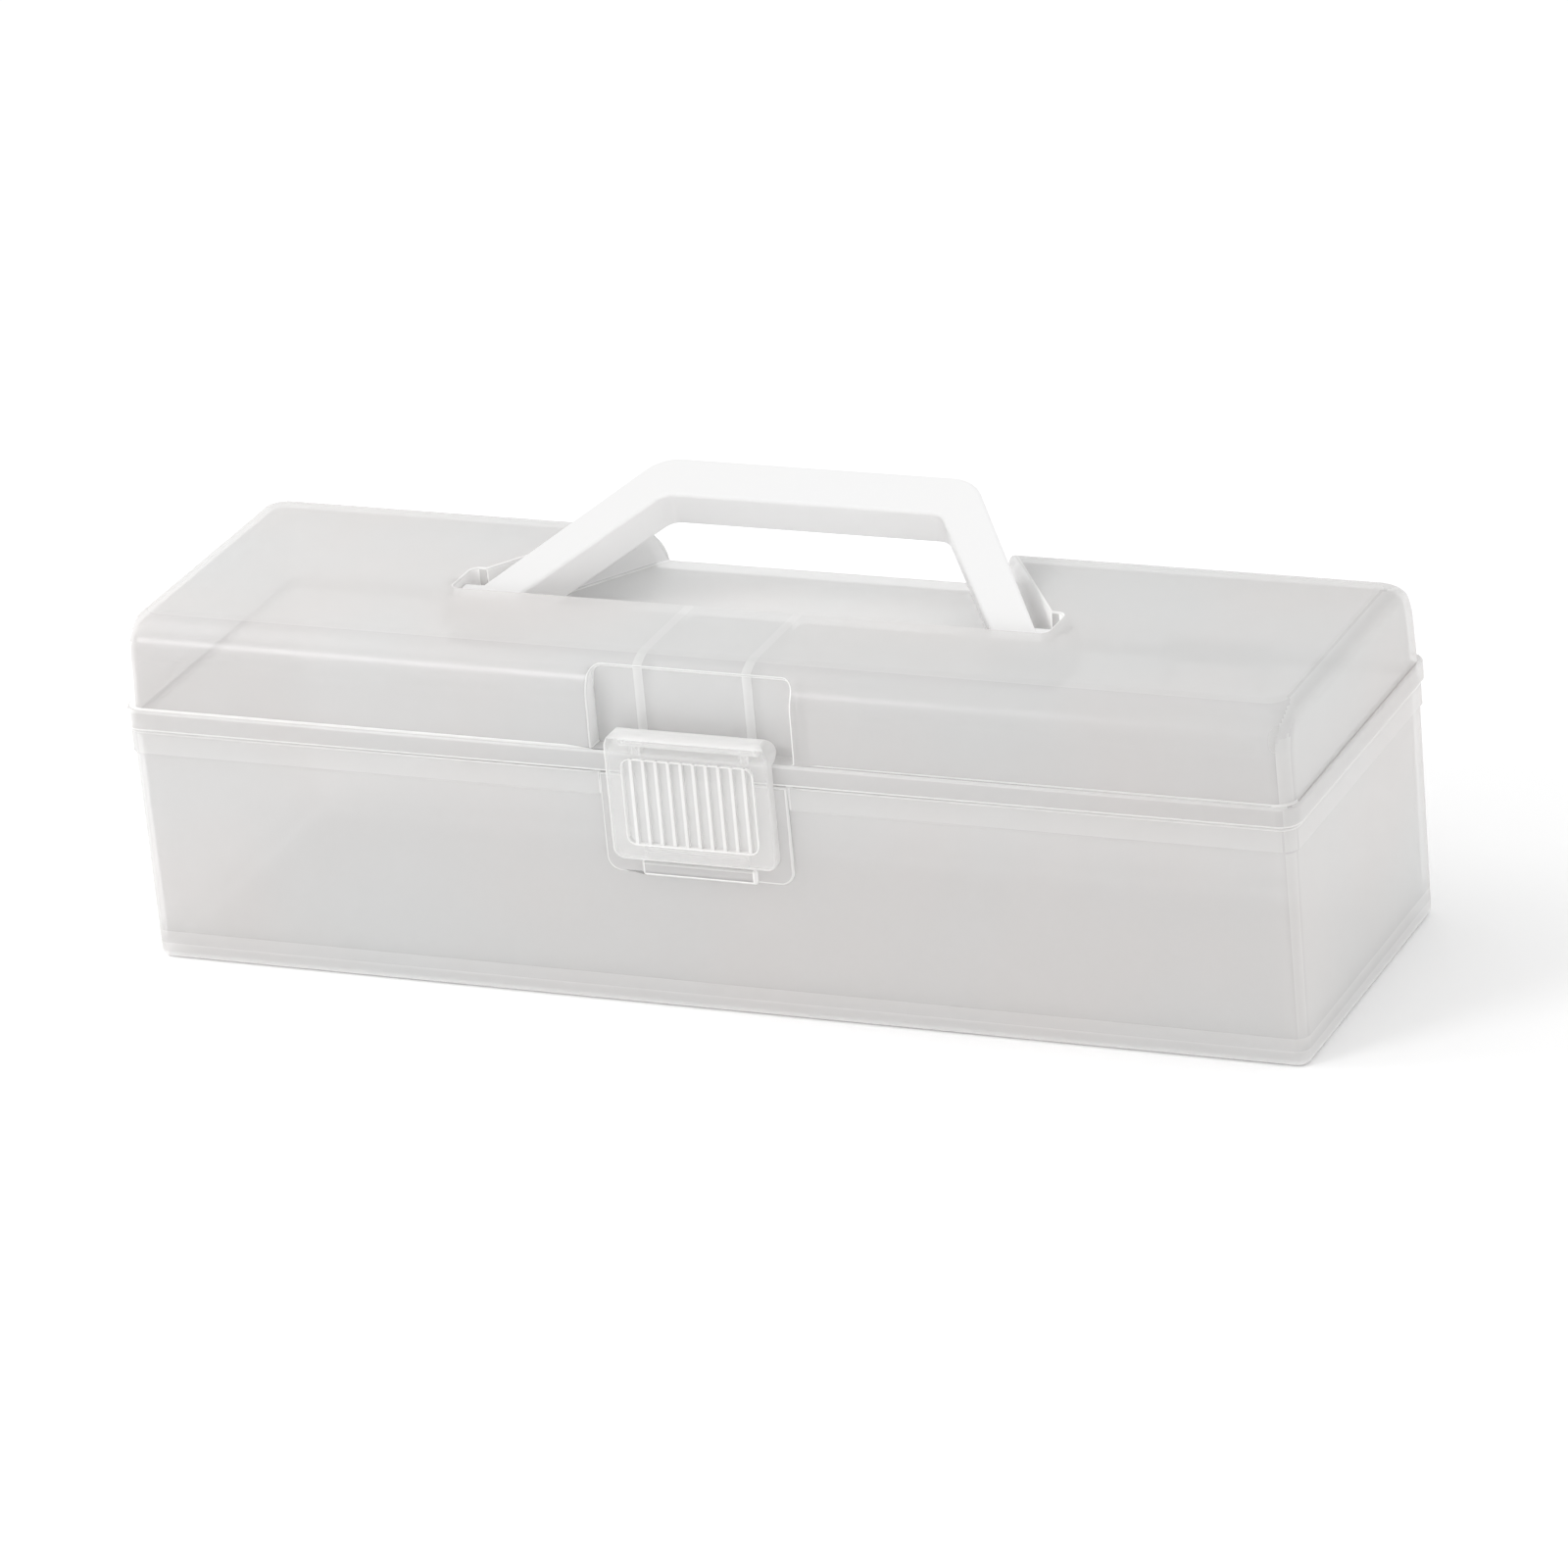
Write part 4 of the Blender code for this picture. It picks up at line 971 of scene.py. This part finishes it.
def lid_material(centre, normal):
    """Material of a face on the lid's outside, by its place and slant; None keeps its own."""
    sideways, upward = abs(normal.x), normal.z
    over_rib = abs(abs(centre.x) - LID_RIB_X) < LID_RIB_WIDTH / 2
    if over_rib and centre.y < RECESS_FRONT_Y:
        return TOP_RIB if upward > LEVEL else CURVE_RIB_AND_LIT_CORNER if upward > SHEER else FRONT_RIB
    # Painted light on the latch pocket's side walls, against the shade in the pocket.
    if sideways > SIDEWAYS and abs(centre.x) < POCKET_HALF_WIDTH + PAST:
        return PAINTED_LIGHT
    # Painted light: the ends are drawn lighter than the front.
    if sideways > END_ON:
        return LIT_SKIN
    # Painted light: the top is drawn a little lighter than the front, in a matt copy.
    if upward > LEVEL:
        return LIT_LID_TOP
    # Painted highlight down the upright corners, and painted light on the rounding between the top
    # and the ends.
    if sideways > SIDEWAYS:
        return BAND_AND_HIGHLIGHT if upward < UPRIGHT else CURVE_RIB_AND_LIT_CORNER
    return None


# -------------------------------- latch

def latch_outline(inset):
    """Front view of the latch, drawn in all round by the inset."""
    half = LATCH_HALF_WIDTH - inset
    low = LATCH_BOTTOM + inset
    high = LATCH_PIVOT_Z + BARREL_RADIUS - inset
    radii = [radius - inset for radius in (LATCH_BOTTOM_CORNER, LATCH_BOTTOM_CORNER,
                                           LATCH_TOP_CORNER, LATCH_TOP_CORNER)]
    return fillet([(-half, low), (half, low), (half, high), (-half, high)], radii)


def latch_body():
    """Plate with a rounded front edge, cut to its side view with the barrel at the top."""
    sections = [(LATCH_BACK, latch_outline(0.0))]
    for depth, inset in quarter_round(LATCH_SOFTENING):
        sections.append((-LATCH_FACE_Y - depth, latch_outline(inset)))
    block = loft("latch_plate", sections, CLEAR)
    block.data.transform(along_y(0.0))
    profile = [(LATCH_SKIRT_Y, LATCH_BOTTOM - PAST), (LATCH_SKIRT_Y, LATCH_PIVOT_Z - BARREL_RADIUS)]
    profile += arc((LATCH_PIVOT_Y, LATCH_PIVOT_Z), BARREL_RADIUS, -90, 180, BARREL_STEPS)
    profile += [(LATCH_FACE_Y - PAST, LATCH_PIVOT_Z), (LATCH_FACE_Y - PAST, LATCH_BOTTOM - PAST)]
    side_view = plate("side_view", profile, 2 * (LATCH_HALF_WIDTH + PAST), along_x(0.0), CLEAR)
    return combine(block, [side_view], "INTERSECT")


def finger_panel():
    """Sunk panel as a cutting shape, with a groove in it for each finger rib."""
    outline = rectangle(PANEL_HALF_WIDTH, PANEL_BOTTOM, PANEL_TOP, PANEL_CORNER)
    floor_y = LATCH_FACE_Y + PANEL_DEPTH
    front_y = LATCH_FACE_Y - 2 * PAST
    panel = plate("panel", outline, floor_y - front_y, along_y((floor_y + front_y) / 2), PANEL)
    first = -(FINGER_RIB_COUNT - 1) / 2 * FINGER_RIB_PITCH
    ribs = []
    for index in range(FINGER_RIB_COUNT):
        x = first + index * FINGER_RIB_PITCH
        half = FINGER_RIB_WIDTH / 2
        ribs.append(box("finger_rib_%d" % index,
                        (x - half, floor_y - FINGER_RIB_HEIGHT, PANEL_BOTTOM - PAST),
                        (x + half, floor_y + PAST, PANEL_TOP + PAST), FINGER_RIB))
    cut(panel, *ribs)
    return panel


def hook_relief():
    """Room behind the latch's foot for the base's catch rib; what is left between is the hook."""
    half = CATCH_HALF_WIDTH + 2 * GAP
    back_y = LATCH_SKIRT_Y + PAST
    return [box("hook_face", (-half, HOOK_FACE_Y, LATCH_BOTTOM - PAST),
                (half, back_y, HOOK_HIGH + PAST), CLEAR),
            box("hook_hollow", (-half, HOOK_RELIEF_Y, HOOK_HIGH),
                (half, back_y, HOOK_RELIEF_HIGH), CLEAR)]


def ear_slot(side):
    """Wedge out of the barrel that lets the lid's ear pass as the latch swings."""
    sweep = arc((LATCH_PIVOT_Y, LATCH_PIVOT_Z), BARREL_RADIUS + 2 * PAST, *LATCH_SLOT_DEG,
                LATCH_SLOT_STEPS)
    return plate("ear_slot_%d" % side, [(LATCH_PIVOT_Y, LATCH_PIVOT_Z)] + sweep,
                 LID_RIB_WIDTH + EAR_ROOM, along_x(side * LID_RIB_X), CLEAR)


def beyond_panel(point):
    """How far a point lies outside the finger panel, seen from the front; negative inside it."""
    return max(abs(point.x) - PANEL_HALF_WIDTH, PANEL_BOTTOM - point.z, point.z - PANEL_TOP)


def make_latch():
    body = latch_body()
    cut(body, finger_panel(), *hook_relief())
    half = BAR_HALF_LENGTH + BAR_END_ROOM
    bore = rod("latch_bore", BAR_RADIUS + GAP, -half, half, LATCH_PIVOT_Y, LATCH_PIVOT_Z, CLEAR)
    mouth = BAR_RADIUS - BAR_PINCH
    slot = box("latch_slot", (-half, LATCH_PIVOT_Y, LATCH_PIVOT_Z - mouth),
               (half, LATCH_PIVOT_Y + BARREL_RADIUS + PAST, LATCH_PIVOT_Z + mouth), CLEAR)
    cut(body, bore, slot, ear_slot(-1), ear_slot(1))

    def panel_lip(middle, edge):
        return beyond_panel(middle) < TOUCH and middle.y < LATCH_FACE_Y + TOUCH

    def panel_wall(centre, normal):
        in_front = centre.y < LATCH_FACE_Y + PANEL_DEPTH
        return abs(beyond_panel(centre)) < TOUCH and abs(normal.y) < PANEL_WALL and in_front

    round_edges(body, PANEL_LIP_ROUND, panel_lip)
    kept = (slot_of(body, FINGER_RIB), slot_of(body, LIT_EDGE))
    side = slot_of(body, CLEAR_SIDE)
    for face in body.data.polygons:
        if abs(face.normal.y) < LATCH_FRONT and face.material_index not in kept:
            face.material_index = side
    # Painted highlight on the walls of the sunk panel.
    paint(body, LIT_EDGE, panel_wall)
    return finish_piece(body, "latch", "latch")


# -------------------------------- handle

def handle_outline(inset, root_u):
    """Trapezoid bail in its own plane, as (x, distance from the pivot line)."""
    outer_slope = (HANDLE_ROOT_OUTER - HANDLE_GRIP_OUTER) / HANDLE_REACH_OUTER
    inner_slope = (HANDLE_ROOT_INNER - HANDLE_GRIP_INNER) / HANDLE_REACH_INNER
    outer_shift = inset * math.hypot(1, outer_slope)
    inner_shift = inset * math.hypot(1, inner_slope)
    top = HANDLE_REACH_OUTER - inset
    under = HANDLE_REACH_INNER + inset

    def outer_x(u):
        return HANDLE_ROOT_OUTER - outer_slope * max(u, 0.0) - outer_shift

    def inner_x(u):
        return HANDLE_ROOT_INNER - inner_slope * max(u, 0.0) + inner_shift

    outer_knee = [(outer_x(0.0), 0.0, HANDLE_KNEE)] if root_u < 0 else []
    inner_knee = [(inner_x(0.0), 0.0, HANDLE_KNEE)] if root_u < 0 else []
    right = [(inner_x(under), under, HANDLE_INNER_RADIUS + inset)] + inner_knee
    right += [(inner_x(root_u), root_u, HANDLE_KNEE), (outer_x(root_u), root_u, HANDLE_KNEE)]
    right += outer_knee + [(outer_x(top), top, HANDLE_OUTER_RADIUS - inset)]
    return mirrored(right)


def handle_coring():
    """Channel under the bail, crossed by the ribs that stay in it."""
    depth = HANDLE_THICKNESS - HANDLE_WALL + PAST
    middle_z = -HANDLE_THICKNESS / 2 - PAST + depth / 2
    channel = plate("coring", handle_outline(HANDLE_WALL, CORING_START), depth,
                    Matrix.Translation((0, 0, middle_z)), WHITE)
    low = -HANDLE_THICKNESS / 2 - 2 * PAST
    half = HANDLE_RIB / 2
    ribs = []
    for index, x in enumerate(GRIP_RIBS_X):
        ribs.append(box("grip_rib_%d" % index, (x - half, HANDLE_REACH_INNER - 2 * PAST, low),
                        (x + half, HANDLE_REACH_OUTER + 2 * PAST, -low), WHITE))
    for side in (-1, 1):
        low_x, high_x = sorted(side * x for x in LEG_RIBS_SPAN)
        for index, u in enumerate(LEG_RIBS_REACH):
            ribs.append(box("leg_rib_%d_%d" % (side, index), (low_x, u - half, low),
                            (high_x, u + half, -low), WHITE))
    cut(channel, *ribs)
    return channel


def handle_bail():
    """Stack of the bail's outline, drawn in towards both faces so that its edges are round."""
    half = HANDLE_THICKNESS / 2
    rounding = [(depth, handle_outline(inset, -half - PAST))
                for inset, depth in quarter_round(HANDLE_SOFTENING)]
    sections = [(-half + depth, outline) for depth, outline in rounding]
    sections += [(half - depth, outline) for depth, outline in reversed(rounding)]
    return loft("handle_bail", sections, WHITE)


def make_handle():
    half = HANDLE_THICKNESS / 2
    bail = handle_bail()
    far_u = HANDLE_REACH_OUTER + HANDLE_PAST
    root = arc((0.0, 0.0), half, 90, 270, HANDLE_ROOT_STEPS)
    profile = [(u, n * HANDLE_CLEAR) for u, n in root]
    profile += [(far_u, -half * HANDLE_CLEAR), (far_u, half * HANDLE_CLEAR)]
    side_view = plate("side_view", profile, 2 * HANDLE_ROOT_OUTER + 4 * HANDLE_PAST, along_x(0.0),
                      WHITE)
    combine(bail, [side_view], "INTERSECT")
    start = HANDLE_ROOT_OUTER - HUB_OVERLAP
    for side in (-1, 1):
        fuse(bail, rod("hub_%d" % side, HUB_RADIUS, side * start, side * HUB_END, 0.0, 0.0, WHITE),
             rod("trunnion_%d" % side, TRUNNION_RADIUS, side * (start + PAST),
                 side * TRUNNION_END, 0.0, 0.0, WHITE))
    cut(bail, handle_coring())
    clean(bail)
    bail.data.transform(Matrix.Translation((0.0, HANDLE_PIVOT_Y, HANDLE_PIVOT_Z))
                        @ Matrix.Rotation(math.radians(HANDLE_REST_DEG), 4, "X"))
    return finish_piece(bail, "handle", "handle")


# -------------------------------- studio

CAMERA_TARGET = Vector((2.0 * MM, 0.0, 43.4 * MM))
CAMERA_AZIMUTH = 24.856
CAMERA_ELEVATION = 23.010
CAMERA_ROLL = -5.323
CAMERA_DISTANCE = 2.28889
CAMERA_LENS = 199.77
CAMERA_SENSOR = 36.0
CAMERA_RANGE = (0.1, 50.0)

ROOM_BRIGHTNESS = 0.97
FLOOR_TONE = 0.97
FLOOR_ROUGHNESS = 0.9
FLOOR_HALF = 6.0
FLOOR_DROP = 0.2 * MM

# Softboxes: place, target, size, and power in watts
FRONT_STRIP = ((-0.62, -0.91, 0.79), (-0.16, 0, 0.09), (0.45, 0.18), 4.4)
LEFT_FILL = ((-0.55, -0.12, 0.62), (-0.1, 0, 0.09), (0.4, 0.4), 1.5)
HANDLE_FILL = ((0.4, -1.4, 0.25), (0, 0, 0.1), (0.8, 0.5), 3.5)
TRANSPARENT_BOUNCES = 32         # a ray meets many thin walls one behind the other


def make_camera():
    """Long lens from the front and a little to the right, with a slight roll."""
    data = bpy.data.cameras.new("camera")
    data.lens = CAMERA_LENS
    data.sensor_width = CAMERA_SENSOR
    data.clip_start, data.clip_end = CAMERA_RANGE
    camera = bpy.data.objects.new("camera", data)
    bpy.context.scene.collection.objects.link(camera)
    azimuth = math.radians(CAMERA_AZIMUTH)
    elevation = math.radians(CAMERA_ELEVATION)
    back = Vector((math.sin(azimuth) * math.cos(elevation),
                   -math.cos(azimuth) * math.cos(elevation), math.sin(elevation)))
    camera.rotation_mode = "QUATERNION"
    level = (-back).to_track_quat("-Z", "Y").to_matrix()
    turned = level @ Matrix.Rotation(math.radians(CAMERA_ROLL), 3, "Z")
    camera.rotation_quaternion = turned.to_quaternion()
    camera.location = CAMERA_TARGET + back * CAMERA_DISTANCE
    bpy.context.scene.camera = camera


def soft_light(name, place, target, size, power, lit):
    """Softbox that lights only the given objects."""
    data = bpy.data.lights.new(name, "AREA")
    data.shape = "RECTANGLE"
    data.size, data.size_y = size
    data.energy = power
    light = bpy.data.objects.new(name, data)
    bpy.context.scene.collection.objects.link(light)
    light.location = place
    light.rotation_mode = "QUATERNION"
    light.rotation_quaternion = (Vector(target) - Vector(place)).to_track_quat("-Z", "Y")
    light.visible_camera = False
    receivers = bpy.data.collections.new(name + "_receivers")
    for item in lit:
        receivers.objects.link(item)
    light.light_linking.receiver_collection = receivers


def make_floor():
    """Pale floor just under the case."""
    material = bpy.data.materials.new("pale_floor")
    material.use_nodes = True
    shader = material.node_tree.nodes["Principled BSDF"]
    shader.inputs["Base Color"].default_value = (FLOOR_TONE, FLOOR_TONE, FLOOR_TONE, 1.0)
    shader.inputs["Roughness"].default_value = FLOOR_ROUGHNESS
    mesh = bpy.data.meshes.new("floor")
    half = FLOOR_HALF
    mesh.from_pydata([(-half, -half, 0), (half, -half, 0), (half, half, 0), (-half, half, 0)], [],
                     [(0, 1, 2, 3)])
    floor = mesh_object("floor", mesh, material)
    floor.location.z = -FLOOR_DROP
    return floor


def make_studio(lid, latch, handle):
    """White room with softboxes for the case's top, and one for the white handle alone."""
    scene = bpy.context.scene
    world = bpy.data.worlds.new("studio")
    world.use_nodes = True
    background = world.node_tree.nodes["Background"]
    background.inputs["Color"].default_value = (1.0, 1.0, 1.0, 1.0)
    background.inputs["Strength"].default_value = ROOM_BRIGHTNESS
    scene.world = world
    scene.view_settings.view_transform = "Standard"
    scene.cycles.transparent_max_bounces = TRANSPARENT_BOUNCES
    top = [make_floor(), lid, latch]
    soft_light("front_strip", *FRONT_STRIP, top)
    soft_light("left_fill", *LEFT_FILL, top)
    soft_light("handle_fill", *HANDLE_FILL, [handle])


make_camera()
make_base()
make_studio(make_lid(), make_latch(), make_handle())
